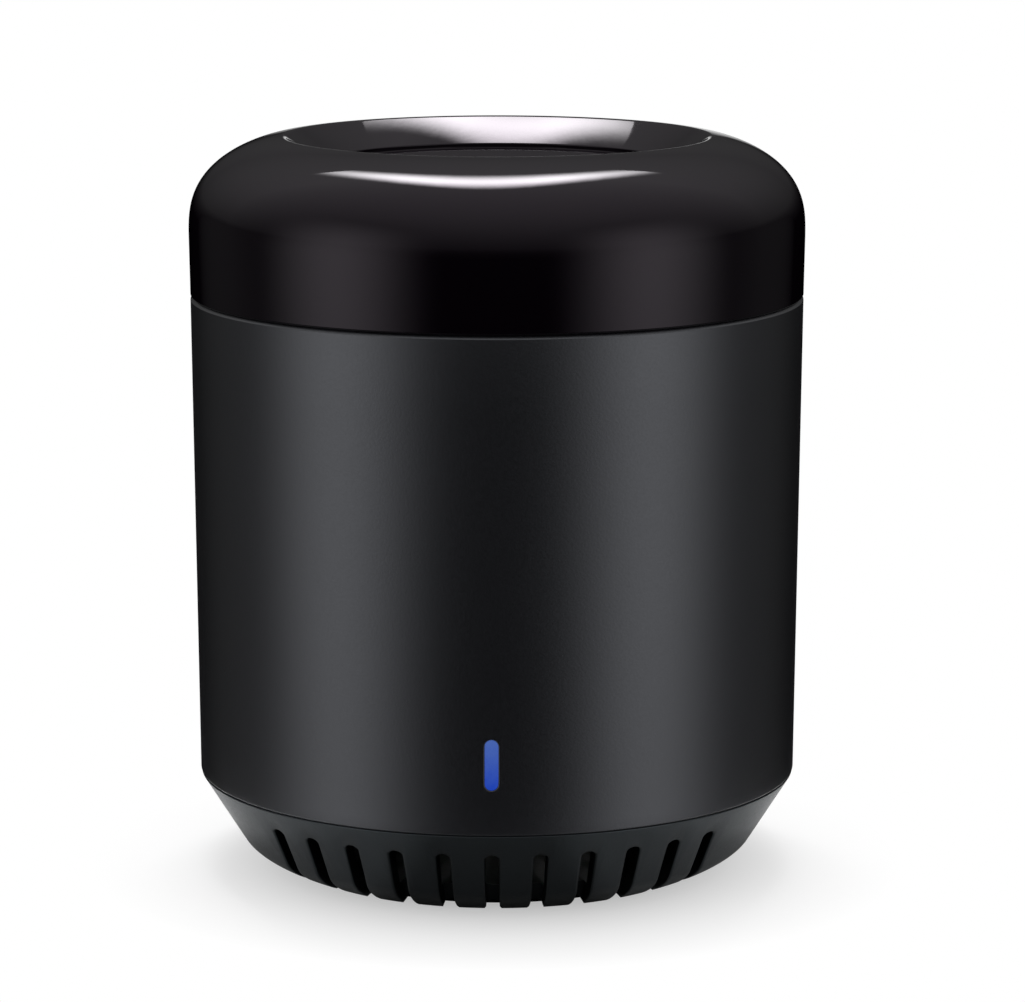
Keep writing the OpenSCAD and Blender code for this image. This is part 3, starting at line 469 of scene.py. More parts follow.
def settle(piece, *tools, crease=32):
    """Turns a piece's modifiers into a plain, smooth mesh with its faces outwards, and drops the tools."""
    made = bpy.data.meshes.new_from_object(piece.evaluated_get(bpy.context.evaluated_depsgraph_get()))
    piece.modifiers.clear()
    piece.data = made
    for tool in tools:
        bpy.data.objects.remove(tool)
    work = bmesh.new()
    work.from_mesh(made)
    bmesh.ops.remove_doubles(work, verts=work.verts[:], dist=WELD)
    bmesh.ops.recalc_face_normals(work, faces=work.faces[:])
    work.to_mesh(made)
    work.free()
    made.polygons.foreach_set("use_smooth", [True] * len(made.polygons))
    made.set_sharp_from_angle(angle=radians(crease))
    return piece


def turned(name, points, material, segments):
    """A piece turned from a profile."""
    piece = profile_object(name, points)
    modify(piece, TREES["turned"], Segments=segments, Material=material)
    return piece


def stand_in(piece, slot, *nodes):
    """Lets a finished piece stand for its CAD nodes on the main body."""
    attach(piece, "root")
    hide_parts(*nodes)


class Levels:
    """Heights and radii that follow from the sizes."""

    def __init__(self, scene):
        cover, sleeve, base = scene.irb_cover, scene.irb_sleeve, scene.irb_base
        self.cover, self.sleeve, self.base = cover, sleeve, base
        self.base_z = base.pad_proud
        self.base_top = self.base_z + base.height
        self.seam = self.base_top + sleeve.height
        self.crest = self.seam + cover.height
        self.slope = (sleeve.foot_d - base.corner_d) / 2 / (base.height - base.corner_h)
        self.along = Vector((self.slope, 1)).normalized()
        self.out = Vector((self.along.y, -self.along.x))
        self.corner = Vector((base.corner_d / 2, self.base_z + base.corner_h))
        self.foot = Vector((base.foot_d / 2, self.base_z))
        self.recess = base.pad_t
        self.light_z = self.base_top + sleeve.light_up
        self.main_board = self.base_top + base.spigot_h
        self.main_top = self.main_board + scene.irb_inlet.board_t
        self.spigot_low = self.seam - cover.spigot_h

    def sleeve_r(self, z):
        """Outer radius of the sleeve at a height."""
        s = self.sleeve
        return s.foot_d / 2 + (s.top_d - s.foot_d) / 2 * (z - self.base_top) / s.height

    def sleeve_in(self, z):
        """Inner radius of the sleeve at a height."""
        return self.sleeve_r(z) - self.sleeve.wall

    def fillet(self, t):
        """Point and outward direction of the base's lower fillet, from 0 at the foot to 1 at the cone."""
        pull = self.corner - FILLET_PULL * self.base.corner_h * Vector((self.slope, 1))
        point = (1 - t) ** 2 * self.foot + 2 * t * (1 - t) * pull + t * t * self.corner
        run = ((1 - t) * (pull - self.foot) + t * (self.corner - pull)).normalized()
        return point, Vector((run.y, -run.x))


def bead(r, z):
    """Points of a snap bead on a spigot, from its low side up."""
    return [(r, z - SPIGOT["bead_h"]), (r + SPIGOT["bead_out"], z, EDGE), (r, z + SPIGOT["bead_h"])]


def shoulder(side, top, low, high, steps=72):
    """Points of the shoulder's curve, from its side to its crest."""
    wide, tall = SHOULDER_POWERS
    quarter = [pi / 2 * i / steps for i in range(steps)]
    curve = [(top + (side - top) * cos(a) ** wide, low + (high - low) * sin(a) ** tall) for a in quarter]
    return curve + [(top, high)]


def cover_profile(at):
    """Outline of the cover's wall, from the spigot up the outside, into the dish and back down the inside."""
    c = at.cover
    spigot_r = at.sleeve_in(at.spigot_low) - SLIP
    in_r = spigot_r - SPIGOT["wall"]
    seam_r = at.sleeve.top_d / 2
    dish_r = c.dish_d / 2
    side_in = min(c.body_d / 2, seam_r) - c.wall
    low = at.crest - c.shoulder_h
    floor = at.crest - c.dish_depth
    under = floor - c.wall
    shelf = at.seam + SPIGOT["wall"]
    rim_z = at.crest - c.rim_r
    run, rise = c.crest_d / 2 - dish_r, rim_z - floor - c.dish_step
    rim_end = pi + atan2(rise, run) - acos(c.rim_r / hypot(run, rise))
    rim = arc(c.crest_d / 2, rim_z, c.rim_r, pi / 2, rim_end, 12)[1:]
    inside = shoulder(side_in, c.crest_d / 2 + c.rim_r, low, at.crest - c.wall, 24)[::-1]
    return softened(
        [(in_r, at.spigot_low), (spigot_r, at.spigot_low, 2 * EDGE)]
        + bead(spigot_r, at.seam - SPIGOT["bead_up"] - SPIGOT["bead_h"])
        + [(spigot_r, at.seam), (seam_r - c.seam_edge, at.seam, EDGE), (seam_r, at.seam + c.seam_edge, EDGE)]
        + shoulder(c.body_d / 2, c.crest_d / 2, low, at.crest) + rim
        + [(dish_r, floor + c.dish_step, 1.5 * EDGE), (dish_r, floor, EDGE), (0, floor),
           (0, under), (dish_r + 0.75 * c.wall, under, 4 * EDGE)]
        + inside + [(side_in, shelf + side_in - in_r), (in_r, shelf)])


def sleeve_profile(at):
    """Outline of the sleeve's wall, with both bead grooves and the ledge for the board frame."""
    s = at.sleeve
    ledge = at.spigot_low - s.ledge_down
    ledge_foot = ledge - s.ledge_h
    ledge_r = at.sleeve_in(ledge) - s.ledge_in
    low = at.base_top + SPIGOT["bead_up"] + SPIGOT["bead_h"]
    high = at.seam - SPIGOT["bead_up"] - SPIGOT["bead_h"]
    bead_h, bead_out = SPIGOT["bead_h"] + SLIP / 2, SPIGOT["bead_out"]
    rows = [at.base_top + up for up in SLEEVE_ROWS]
    return softened([
        (at.sleeve_in(at.base_top), at.base_top),
        (s.foot_d / 2 - s.foot_edge, at.base_top, EDGE),
        (s.foot_d / 2, at.base_top + s.foot_edge, EDGE),
        *[(at.sleeve_r(z), z) for z in rows],
        (s.top_d / 2, at.seam - s.chamfer, EDGE),
        (s.top_d / 2 - s.chamfer, at.seam, EDGE),
        (at.sleeve_in(at.seam), at.seam, EDGE),
        (at.sleeve_in(at.seam), high + bead_h),
        (at.sleeve_in(at.seam) + bead_out, high, EDGE),
        (at.sleeve_in(high), high - bead_h),
        (at.sleeve_in(ledge), ledge),
        (ledge_r, ledge, EDGE),
        (ledge_r, ledge_foot, EDGE),
        (at.sleeve_in(ledge), ledge_foot - s.ledge_run),
        (at.sleeve_in(low), low + bead_h),
        (at.sleeve_in(low) + bead_out, low, EDGE),
        (at.sleeve_in(at.base_top), low - bead_h)])


def base_profile(at):
    """Outline of the base's wall and floor, with the pad's recess below and the spigot above."""
    b = at.base
    thick = b.wall / at.out.x
    floor = at.recess + b.floor_t
    recess_r = b.pad_d / 2 + 2 * SLIP
    out_r = at.sleeve_in(at.base_top) - SLIP
    in_r = out_r - SPIGOT["wall"]
    floor_in = at.corner.x + at.slope * (floor - at.corner.y) - thick
    top = at.main_board
    fillet = [tuple(at.fillet(i / 20)[0]) for i in range(1, 21)]
    return softened(
        [(0, at.recess), (recess_r, at.recess), (recess_r, at.base_z, EDGE), (*at.foot, EDGE)] + fillet
        + [(at.sleeve.foot_d / 2, at.base_top, EDGE), (out_r, at.base_top)]
        + bead(out_r, at.base_top + SPIGOT["bead_up"] + SPIGOT["bead_h"])
        + [(out_r, top, EDGE), (in_r, top, EDGE), (in_r, floor + (in_r - floor_in) / at.slope),
           (floor_in, floor, 4 * EDGE), (0, floor)])


def mouth(edge, run_out):
    """How far each loop of a rounded mouth is widened and moved out, from outside the face to the wall."""
    end = MOUTH[0]
    steps = [(edge * (1 - cos(end)) + run_out * sin(end), edge * (sin(end) - 1) + run_out * cos(end))]
    return steps + [(edge * (1 - cos(a)), edge * (sin(a) - 1)) for a in MOUTH]


def vent_spot(at, turned_to):
    """Where a vent's middle plane lies: its sideways and its forward direction, and its sideways offset."""
    turn = at.base.vent_turn * turned_to
    r = at.corner.x + at.slope * (at.base_z + at.base.vent_top - at.corner.y)
    return Vector((cos(turn), sin(turn))), Vector((sin(turn), -cos(turn))), r * sin(turned_to - turn)


def vent_loops(at, turned_to):
    """Loops of a vent's tool: from a plane outside, over the rounded mouth, to the back plane."""
    b = at.base
    across, ahead, offset = vent_spot(at, turned_to)
    half = b.vent_w / 2
    arc_s = (b.vent_top - b.corner_h) / at.along.y - half
    plane = at.corner.dot(at.out)

    def on_cone(s):
        """A point up the cone, its outward direction and the share of the mouth's rounding there."""
        return at.corner + s * at.along, at.out, 1.0

    def on_fillet(t):
        """The same on the fillet, where the rounding gets smaller towards the foot."""
        return *at.fillet(t), RIM_ROUND_SHARE + (1 - RIM_ROUND_SHARE) * t

    side = [on_cone(arc_s * f) for f in CONE_SHARES] + [on_fillet(t) for t in FILLET_SHARES]
    side.append((at.foot - OVER * at.along, at.out, RIM_ROUND_SHARE))

    def loop(grow, lift, flat=None):
        """One closed loop, widened by grow and moved out by lift, or laid in a plane flat off the cone."""
        run = [(half + grow, *s) for s in reversed(side)]
        run += [(x, *on_cone(arc_s + up)) for x, up in arc(0, 0, half + grow, 0, pi, 16)]
        run += [(-half - grow, *s) for s in side]
        points = []
        for x, point, out, size in run:
            if flat is None:
                shift = half + grow * size if abs(x) > half else abs(x)
                x = shift * (1 if x > 0 else -1)
                point = point + out * lift * size
                reach = sqrt(point.x ** 2 - (offset + x) ** 2)
            else:
                point = at.along * point.dot(at.along) + at.out * (plane + flat)
                reach = sqrt(point.x ** 2 - offset ** 2)
            spot = across * (offset + x) + ahead * reach
            points.append((*spot, point.y))
        return points

    steps = mouth(b.edge_r, 1.2 * b.edge_r)
    outside = loop(steps[0][0], 0, OVER / 2)
    return [outside, *[loop(*step) for step in steps], loop(0, 0, -VENT_DEPTH_SHARE * b.wall)]


def arch_loops(at, turned_to):
    """Loops of the arch that a vent cuts under the rim."""
    b = at.base
    across, ahead, offset = vent_spot(at, turned_to)
    far = sqrt((at.sleeve.foot_d / 2) ** 2 - offset ** 2)
    near = sqrt((b.pad_d / 2 - 3 * SLIP) ** 2 - offset ** 2)
    outline = arc(0, 0, b.arch_r, 0, pi, 16) + [(-b.arch_r, -OVER), (b.arch_r, -OVER)]
    return [[(*(across * (offset + x) + ahead * y), at.base_z + z) for x, z in outline] for y in (near, far)]


def round_loops(x, y, low, high, radius):
    """Two loops of an upright round tool."""
    return [[(*spot, z) for spot in arc(x, y, radius, 0, 2 * pi, 48)[:-1]] for z in (low, high)]


def wall_loops(at, outline, edge, facing):
    """Loops of a tool through the sleeve's wall whose mouth is rounded.

    outline(grow) gives the opening's x and z points, widened by grow, and facing is -1 at the front and 1 at
    the rear.
    """
    def loop(grow, lift):
        """One loop that follows the sleeve's face, widened by grow and moved out by lift."""
        return [(x, facing * sqrt((at.sleeve_r(z) + lift) ** 2 - x * x), z) for x, z in outline(grow)]

    steps = mouth(edge, edge)
    outside = [(x, facing * (at.sleeve_r(z) + OVER), z) for x, z in outline(steps[0][0])]
    inside = [(x, facing * (at.sleeve_in(z) - PAST_WALL), z) for x, z in outline(0)]
    return [outside, *[loop(*step) for step in steps], inside]


def stadium(x, z, width, height):
    """Outline of an upright shape with round ends, as a function of how much it is widened."""
    def outline(grow):
        r = width / 2 + grow
        rise = (height - width) / 2
        return arc(x, z + rise, r, 0, pi, 10) + arc(x, z - rise, r, pi, 2 * pi, 10)
    return outline


def window(x, z, width, height, corner, steps=6):
    """Outline of a rectangle with round corners, as a function of how much it is widened."""
    def outline(grow):
        points = []
        for i, (sx, sz) in enumerate(((1, 1), (-1, 1), (-1, -1), (1, -1))):
            cx, cz = x + sx * (width / 2 - corner), z + sz * (height / 2 - corner)
            points += arc(cx, cz, corner + grow, pi / 2 * i, pi / 2 * (i + 1), steps)
        return points
    return outline


def gloss_cover(colours):
    """Infrared-passing polycarbonate, moulded and polished: deep black, a hint of purple, a clean gloss."""
    return moulded("infrared polycarbonate", colours.cover, "#0d080e", (0.035, 0.055), 1.2, 0.008, patch=18,
                   sockets={"IOR": 1.39, "Specular Tint": linear("#fff2ff")})


def satin_sleeve(colours):
    """Painted ABS under a satin lacquer: a fine grain of about 0.2 mm breaks the gloss into a soft sheen."""
    return moulded("satin painted ABS", colours.sleeve, "#0e0e11", (0.33, 0.40), 0.2, 0.2, patch=9,
                   sockets={"IOR": 1.7, "Specular Tint": linear("#ebf0ff"), "Coat Weight": 1.0,
                            "Coat Roughness": 0.34, "Coat IOR": 1.5})


def black_base(colours):
    """Moulded ABS in black with a fine spark-eroded grain, a little glossier than the sleeve's paint."""
    return moulded("moulded black ABS", colours.base, "#0b0d0e", (0.30, 0.38), 0.22, 0.18, patch=7,
                   sockets={"IOR": 1.68, "Specular Tint": linear("#e8f6ff")})


def light_guide(at, colours):
    """Acrylic light guide over a blue LED: paler at its top, saturated at its foot, and it glows."""
    made, tree, shader, spot = surface("lit acrylic guide")
    height = add(tree, SPLIT, {"Vector": spot}).outputs["Z"]
    low, high = (at.light_z + way * at.sleeve.light_h / 2 for way in (-1, 1))
    share = field(tree, RANGE, (height, low, high, 0, 1))
    cloud = uneven(tree, spot, 0.5, -0.06, 0.06)
    share = field(tree, MATHS, (share, cloud), operation="ADD")
    tone = field(tree, MIX, (share, colours.light_foot, colours.light_top), data_type="RGBA")
    fill(shader, {"Base Color": tone, "Emission Color": tone, "Emission Strength": 0.75, "Roughness": 0.2,
                  "IOR": 1.49})
    return made


def rubber_pad():
    """Moulded silicone rubber: matt, very dark, with a slightly coarse skin."""
    return moulded("moulded rubber", "#17171a", "#1e1e20", (0.72, 0.85), 0.25, 0.35, patch=5,
                   sockets={"IOR": 1.43})


def solder_mask():
    """Glass-epoxy board under green solder mask: faint copper tracks show through as slightly paler lines."""
    made, tree, shader, spot = surface("green solder mask")
    cells = field(tree, "ShaderNodeTexVoronoi", {"Vector": spot, "Scale": 1 / TRACK_PITCH},
                  feature="DISTANCE_TO_EDGE", distance="EUCLIDEAN")
    track = field(tree, RANGE, (cells, *TRACK_EDGE, 1, 0))
    tones = [linear(code) for code in ("#0f4a2c", "#13573a")]
    shade = field(tree, MIX, (uneven(tree, spot, 4, 0, 1), *tones), data_type="RGBA")
    tone = field(tree, MIX, (track, shade, linear("#23794f")), data_type="RGBA")
    relief = field(tree, "ShaderNodeBump", {"Height": track, "Strength": 0.4, "Distance": TRACK_T})
    fill(shader, {"Base Color": tone, "Roughness": uneven(tree, spot, 0.3, 0.22, 0.34), "Normal": relief})
    return made


def chip_ends(name, code):
    """A fired ceramic chip lying outward from the middle, with tinned caps at both ends."""
    made, tree, shader, spot = surface(name)
    flat = field(tree, "ShaderNodeVectorMath", (spot, (1, 1, 0)), operation="MULTIPLY")
    radius = field(tree, "ShaderNodeVectorMath", (flat,), operation="LENGTH")
    off = field(tree, MATHS, (radius, CHIP_RING), operation="SUBTRACT")
    off = field(tree, MATHS, (off,), operation="ABSOLUTE")
    cap = field(tree, MATHS, (off, CHIP_BODY), operation="GREATER_THAN")
    tones = [linear(code), linear("#6d5138")]
    worn = field(tree, MIX, (uneven(tree, spot, 0.2, 0, 1), *tones), data_type="RGBA")
    tone = field(tree, MIX, (cap, worn, linear("#c9c9cc")), data_type="RGBA")
    fill(shader, {"Base Color": tone, "Metallic": cap, "Roughness": uneven(tree, spot, 0.1, 0.3, 0.45)})
    return made


def wire_jackets():
    """PVC-covered wires side by side, each in its own colour, with a soft sheen."""
    made, tree, shader, spot = surface("PVC wire jackets")
    across = add(tree, SPLIT, {"Vector": spot}).outputs["X"]
    share = field(tree, RANGE, (across, -WIRE_ROW, WIRE_ROW, 0, 1))
    ramp = add(tree, "ShaderNodeValToRGB", {"Fac": share})
    ramp.color_ramp.interpolation = "CONSTANT"
    for position, code in ((0.25, "#1a1a1c"), (0.5, "#d8c33c"), (0.75, "#dcdcd8")):
        ramp.color_ramp.elements.new(position).color = linear(code)
    ramp.color_ramp.elements[0].color = linear("#a81d1a")
    fill(shader, {"Base Color": ramp.outputs["Color"], "Roughness": uneven(tree, spot, 0.4, 0.32, 0.46)})
    return made


class IRB_OT_stage(bpy.types.Operator):
    """Sets up the camera, the floor, the softboxes and the even light"""
    bl_idname = "irblaster.stage"
    bl_label = "Studio"

    def execute(self, context):
        scene = context.scene
        studio = scene.irb_studio
        scene.view_settings.view_transform = "Standard"
        camera_data = bpy.data.cameras.new("camera")
        camera_data.lens = studio.lens
        camera_data.sensor_width = SENSOR_MM
        camera_data.shift_x = studio.shift / PICTURE_PX
        camera_data.clip_start = 0.01
        camera = bpy.data.objects.new("camera", camera_data)
        side, far = studio.camera_side, studio.camera_far
        camera.location = (far * sin(side), -far * cos(side), studio.camera_up)
        camera.rotation_euler = (pi / 2 - studio.camera_down, 0, side)
        scene.collection.objects.link(camera)
        scene.camera = camera
        self.floor()
        self.world(scene, studio)
        self.softbox(scene, "top softbox", studio.top, aim=(-2.2, 109), distance=0.8, reach=(23, 22),
                     core=(0.28, 0.0), band=0.54, bend=1.5)
        for name, around in (("left softbox", -58), ("right softbox", 58)):
            self.softbox(scene, name, studio.side, aim=(around, -10), distance=0.6, reach=(44, 40), power=2.0)
        return {"FINISHED"}

    def rays(self, tree):
        """Two shares for a material: 1 for straight and see-through views, and 1 for what gloss sees."""
        path = add(tree, "ShaderNodeLightPath").outputs
        straight = (path["Is Camera Ray"], path["Is Transmission Ray"])
        return field(tree, MATHS, straight, operation="MAXIMUM"), path["Is Glossy Ray"]

    def floor(self):
        """A card that shows white to the camera and to gloss, keeps the shadow and is clear from below."""
        mesh = bpy.data.meshes.new("floor")
        rim = arc(0, 0, CARD_R, 0, 2 * pi, 96)[:-1]
        mesh.from_pydata([(x, y, -CARD_DOWN) for x, y in rim], [], [tuple(range(len(rim)))])
        floor = new_object("floor", mesh)
        made, tree, shader, spot = surface("white card")
        plain, gloss = self.rays(tree)
        # Painted shade: gloss sees the card's middle darker, standing in for the shadow on the floor in front
        # of the object, so the base's reflection darkens at its middle
        across = add(tree, SPLIT, {"Vector": spot}).outputs["X"]
        across = field(tree, MATHS, (across,), operation="ABSOLUTE")
        dim = field(tree, RANGE, (across, *CARD_PAINTED_SHADE_SPAN, CARD_PAINTED_SHADE, 0))
        dim = field(tree, MATHS, (gloss, dim), operation="MULTIPLY")
        tone = field(tree, MATHS, (CARD_TONE, dim), operation="SUBTRACT")
        fill(shader, {"Base Color": tone, "Roughness": 0.9, "Specular IOR Level": 0.0})
        distance = field(tree, "ShaderNodeVectorMath", (spot,), operation="LENGTH")
        fades = ((plain, (distance, *CARD_FADE, CARD_NEAR, 1)), (gloss, (distance, *CARD_GLOSS, 0, 1)))
        whites = [field(tree, MATHS, (rays, field(tree, RANGE, fade)), operation="MULTIPLY")
                  for rays, fade in fades]
        white = field(tree, MATHS, whites, operation="MAXIMUM")
        glow = field(tree, "ShaderNodeEmission", {"Color": (1, 1, 1, 1), "Strength": 1.0})
        card = field(tree, "ShaderNodeMixShader", (white, shader.outputs[0], glow))
        under = add(tree, "ShaderNodeNewGeometry").outputs["Backfacing"]
        clear = field(tree, "ShaderNodeBsdfTransparent")
        whole = field(tree, "ShaderNodeMixShader", (under, card, clear))
        fill(tree.nodes["Material Output"], {"Surface": whole})
        mesh.materials.append(made)

    def world(self, scene, studio):
        """White to the camera and behind the object, and otherwise a dim room that is pale overhead."""
        world = bpy.data.worlds.new("studio")
        world.use_nodes = True
        scene.world = world
        tree = world.node_tree
        plain, gloss = self.rays(tree)
        # The parts of a direction run from -1 to 1: X to the right, Y to the back and Z up. The room is darker
        # towards the back, has no light from below and a little from either side
        toward = add(tree, "ShaderNodeTexCoord").outputs["Generated"]
        toward = add(tree, SPLIT, {"Vector": toward}).outputs
        sideways = field(tree, MATHS, (toward["X"],), operation="ABSOLUTE")
        wall = field(tree, RANGE, (toward["Y"], 0.995, 1.0, 0, 1))
        wall = field(tree, MATHS, (gloss, wall), operation="MULTIPLY")
        white = field(tree, MATHS, (plain, wall), operation="MAXIMUM")
        ceiling = field(tree, RANGE, (toward["Z"], 0.0, 1.0, 0.1, 1))
        darker = field(tree, RANGE, (toward["Y"], 0.45, 0.9, 1, 0.35))
        above = field(tree, RANGE, (toward["Z"], -0.05, 0.1, 0, 1))
        aside = field(tree, RANGE, (sideways, 0.55, 0.9, 0, 0.1))
        for share in (darker, above):
            ceiling = field(tree, MATHS, (ceiling, share), operation="MULTIPLY")
        level = field(tree, MATHS, (ceiling, aside), operation="MAXIMUM")
        level = field(tree, MATHS, (level, studio.room), operation="MULTIPLY")
        strength = field(tree, MIX, (white, level, 1.0), data_type="FLOAT")
        fill(tree.nodes["Background"], {"Color": (1, 1, 1, 1), "Strength": strength})

    def softbox(self, scene, name, radiance, aim, distance, reach, core=(0.0, 0.0), power=1.0, band=1.0,
                bend=0.0):
        """An area lamp that fades out from a core.

        aim gives its angle to the side and its angle from the front horizon up and over, and reach its half
        widths, all in degrees. core is the even share of each half width, power sharpens the fade across,
        band narrows the light along, and bend carries its ends along.
        """
        across, over = (radians(a) for a in aim)
        direction = Vector((sin(across), -cos(across) * cos(over), cos(across) * sin(over)))
        lamp = bpy.data.lights.new(name, "AREA")
        lamp.shape = "RECTANGLE"
        lamp.size, lamp.size_y = (2 * distance * tan(radians(a)) for a in reach)
        lamp.energy = radiance * pi * lamp.size * lamp.size_y
        lamp.use_nodes = True
        tree = lamp.node_tree
        spot = add(tree, "ShaderNodeNewGeometry").outputs["Parametric"]
        spot = add(tree, SPLIT, {"Vector": spot}).outputs
        wide, high = (field(tree, RANGE, (spot[axis], 0, 1, -1, 1)) for axis in "XY")
        bow = field(tree, MATHS, (wide, wide), operation="MULTIPLY")
        bow = field(tree, MATHS, (bow, bend), operation="MULTIPLY")
        high = field(tree, MATHS, (high, bow), operation="SUBTRACT")
        fades = []
        for off, start, limit in ((wide, core[0], 1.0), (high, core[1], band)):
            off = field(tree, MATHS, (off,), operation="ABSOLUTE")
            fades.append(field(tree, RANGE, (off, start * limit, limit, 1.0, 0.0),
                               interpolation_type="SMOOTHSTEP"))
        sharp = field(tree, MATHS, (fades[0], power), operation="POWER")
        fade = field(tree, MATHS, (sharp, fades[1]), operation="MULTIPLY")
        fill(tree.nodes["Emission"], {"Strength": fade})
        holder = bpy.data.objects.new(name, lamp)
        holder.location = TARGET + direction * distance
        level = (Vector((1, 0, 0)) - direction * direction.x).normalized()
        holder.rotation_euler = Matrix((level, direction.cross(level), direction)).transposed().to_euler()
        scene.collection.objects.link(holder)


class IRB_OT_cover(bpy.types.Operator):
    """Turns the glossy cover with its rounded shoulder and dish"""
    bl_idname = "irblaster.cover"
    bl_label = "Top cover"

    def execute(self, context):
        at = Levels(context.scene)
        piece = turned("cover", cover_profile(at), gloss_cover(context.scene.irb_colours), segments=320)
        stand_in(settle(piece, crease=40), "cover_black", "top_cover")
        return {"FINISHED"}


class IRB_OT_sleeve(bpy.types.Operator):
    """Turns the satin sleeve and cuts the light slot, the inlet's window and the reset pinhole"""
    bl_idname = "irblaster.sleeve"
    bl_label = "Sleeve"

    def execute(self, context):
        at = Levels(context.scene)
        s, rear = at.sleeve, context.scene.irb_inlet
        material = satin_sleeve(context.scene.irb_colours)
        piece = turned("sleeve-shell", sleeve_profile(at), material, segments=240)
        slot = stadium(0, at.light_z, s.light_w + LIGHT_SLIP, s.light_h + LIGHT_SLIP)
        inlet = window(0, at.main_top + rear.inlet_up, rear.inlet_w, rear.inlet_h, rear.corner_r)
        pinhole = window(rear.reset_x, at.main_top + rear.reset_up, rear.reset_d, rear.reset_d,
                         rear.reset_d / 2, steps=10)
        tool = cutter_object("sleeve openings", [wall_loops(at, slot, EDGE, -1),
                                                 wall_loops(at, inlet, 3 * EDGE, 1),
                                                 wall_loops(at, pinhole, 2 * EDGE, 1)])
        modify(piece, TREES["cut"], Tool=tool, Count=1, Material=material)
        stand_in(settle(piece, tool), "sleeve_grey", "sleeve")
        return {"FINISHED"}


class IRB_OT_base(bpy.types.Operator):
    """Turns the base, cuts its two groups of vents and arches, and adds the screw bosses"""
    bl_idname = "irblaster.base"
    bl_label = "Vented base"

    def execute(self, context):
        at = Levels(context.scene)
        b = at.base
        material = black_base(context.scene.irb_colours)
        piece = turned("vented-base", base_profile(at), material, segments=304)
        turns = [(i - (b.vents - 1) / 2) * b.vent_pitch for i in range(b.vents)]
        ring = b.boss_ring_d / 2
        spots = [(ring * sin(radians(a)), -ring * cos(radians(a))) for a in BOSS_ANGLES]
        seat = at.recess + b.head_h
        steps = [("cut", 2, "vent slots", [vent_loops(at, a) for a in turns]),
                 ("cut", 2, "vent arches", [arch_loops(at, a) for a in turns])]
        for tree, name, low, high, width in (
                ("join", "bosses", at.recess + HAIR, at.main_board, b.boss_d),
                ("cut", "screw holes", at.recess - OVER, seat, b.head_d),
                ("cut", "screw bores", seat - OVER, at.main_board + OVER, b.bore_d)):
            steps.append((tree, 1, name, [round_loops(x, y, low, high, width / 2) for x, y in spots]))
        tools = []
        for tree, count, name, solids in steps:
            tools.append(cutter_object(name, solids))
            modify(piece, TREES[tree], Tool=tools[-1], Count=count, Material=material)
        stand_in(settle(piece, *tools), "base_black", "base")
        return {"FINISHED"}


class IRB_OT_foot_pad(bpy.types.Operator):
    """Turns the rubber pad with its softened edge"""
    bl_idname = "irblaster.foot_pad"
    bl_label = "Foot pad"

    def execute(self, context):
        b = context.scene.irb_base
        r = b.pad_d / 2
        points = softened([(0, 0), (r, 0, 3 * EDGE), (r, b.pad_t, EDGE), (0, b.pad_t)])
        piece = turned("rubber-pad", points, rubber_pad(), segments=192)
        stand_in(settle(piece), "pad_rubber", "foot_pad")
        return {"FINISHED"}


class IRB_OT_status_light(bpy.types.Operator):
    """Lights the guide in the front slot and finishes the LED behind it"""
    bl_idname = "irblaster.status_light"
    bl_label = "Status light"

    def execute(self, context):
        dress(light_guide(Levels(context.scene), context.scene.irb_colours), "light_pipe")
        # Side-view LED: white moulded body, lightly glossy
        dress(moulded("LED body", "#e6e4dc", "#dcd9ce", (0.3, 0.42), 0.15, 0.1, patch=1), "status_led")
        return {"FINISHED"}


class IRB_OT_inlet(bpy.types.Operator):
    """Finishes the power inlet and the reset switch beside it"""
    bl_idname = "irblaster.inlet"
    bl_label = "Inlet and reset"

    def execute(self, context):
        # Stamped stainless steel with a drawn grain along the shell
        dress(moulded("stamped stainless steel", "#b9babd", "#a6a7ab", (0.22, 0.36), 0.12, 0.12, patch=1.5,
                      stretch=(1, 0.12, 1), sockets=METAL), "usb_shell", "reset_switch_cover")
        # Glass-filled connector plastic, matt black
        dress(moulded("connector plastic", "#111113", "#19191b", (0.42, 0.55), 0.12, 0.2, patch=1),
              "usb_tongue", "reset_switch_body")
        # Gold flash over nickel on the contacts: warm yellow with a keen gloss
        dress(moulded("gold-flashed contact", "#d6a94d", "#c89a3f", (0.18, 0.3), 0.1, 0.05, patch=0.6,
                      sockets=METAL), "usb_contacts", "wifi_pins", "wifi_antenna")
        # Tinned phosphor bronze on the dome and on every soldered lead: pale, dull silver
        dress(moulded("tinned bronze", "#c4c2bc", "#b4b1a9", (0.28, 0.42), 0.15, 0.1, patch=0.8,
                      sockets=METAL), "reset_switch_terminals", "reset_snap_dome", "flash_chip_leads",
              "regulator_leads", "ir_emitter_leads", "ir_receiver_leads")
        # Plunger in ivory acetal: waxy and low in gloss
        dress(moulded("ivory acetal", "#ddd8c8", "#d2ccb9", (0.36, 0.46), 0.2, 0.08, patch=0.8,
                      sockets={"IOR": 1.48}), "reset_plunger")
        return {"FINISHED"}


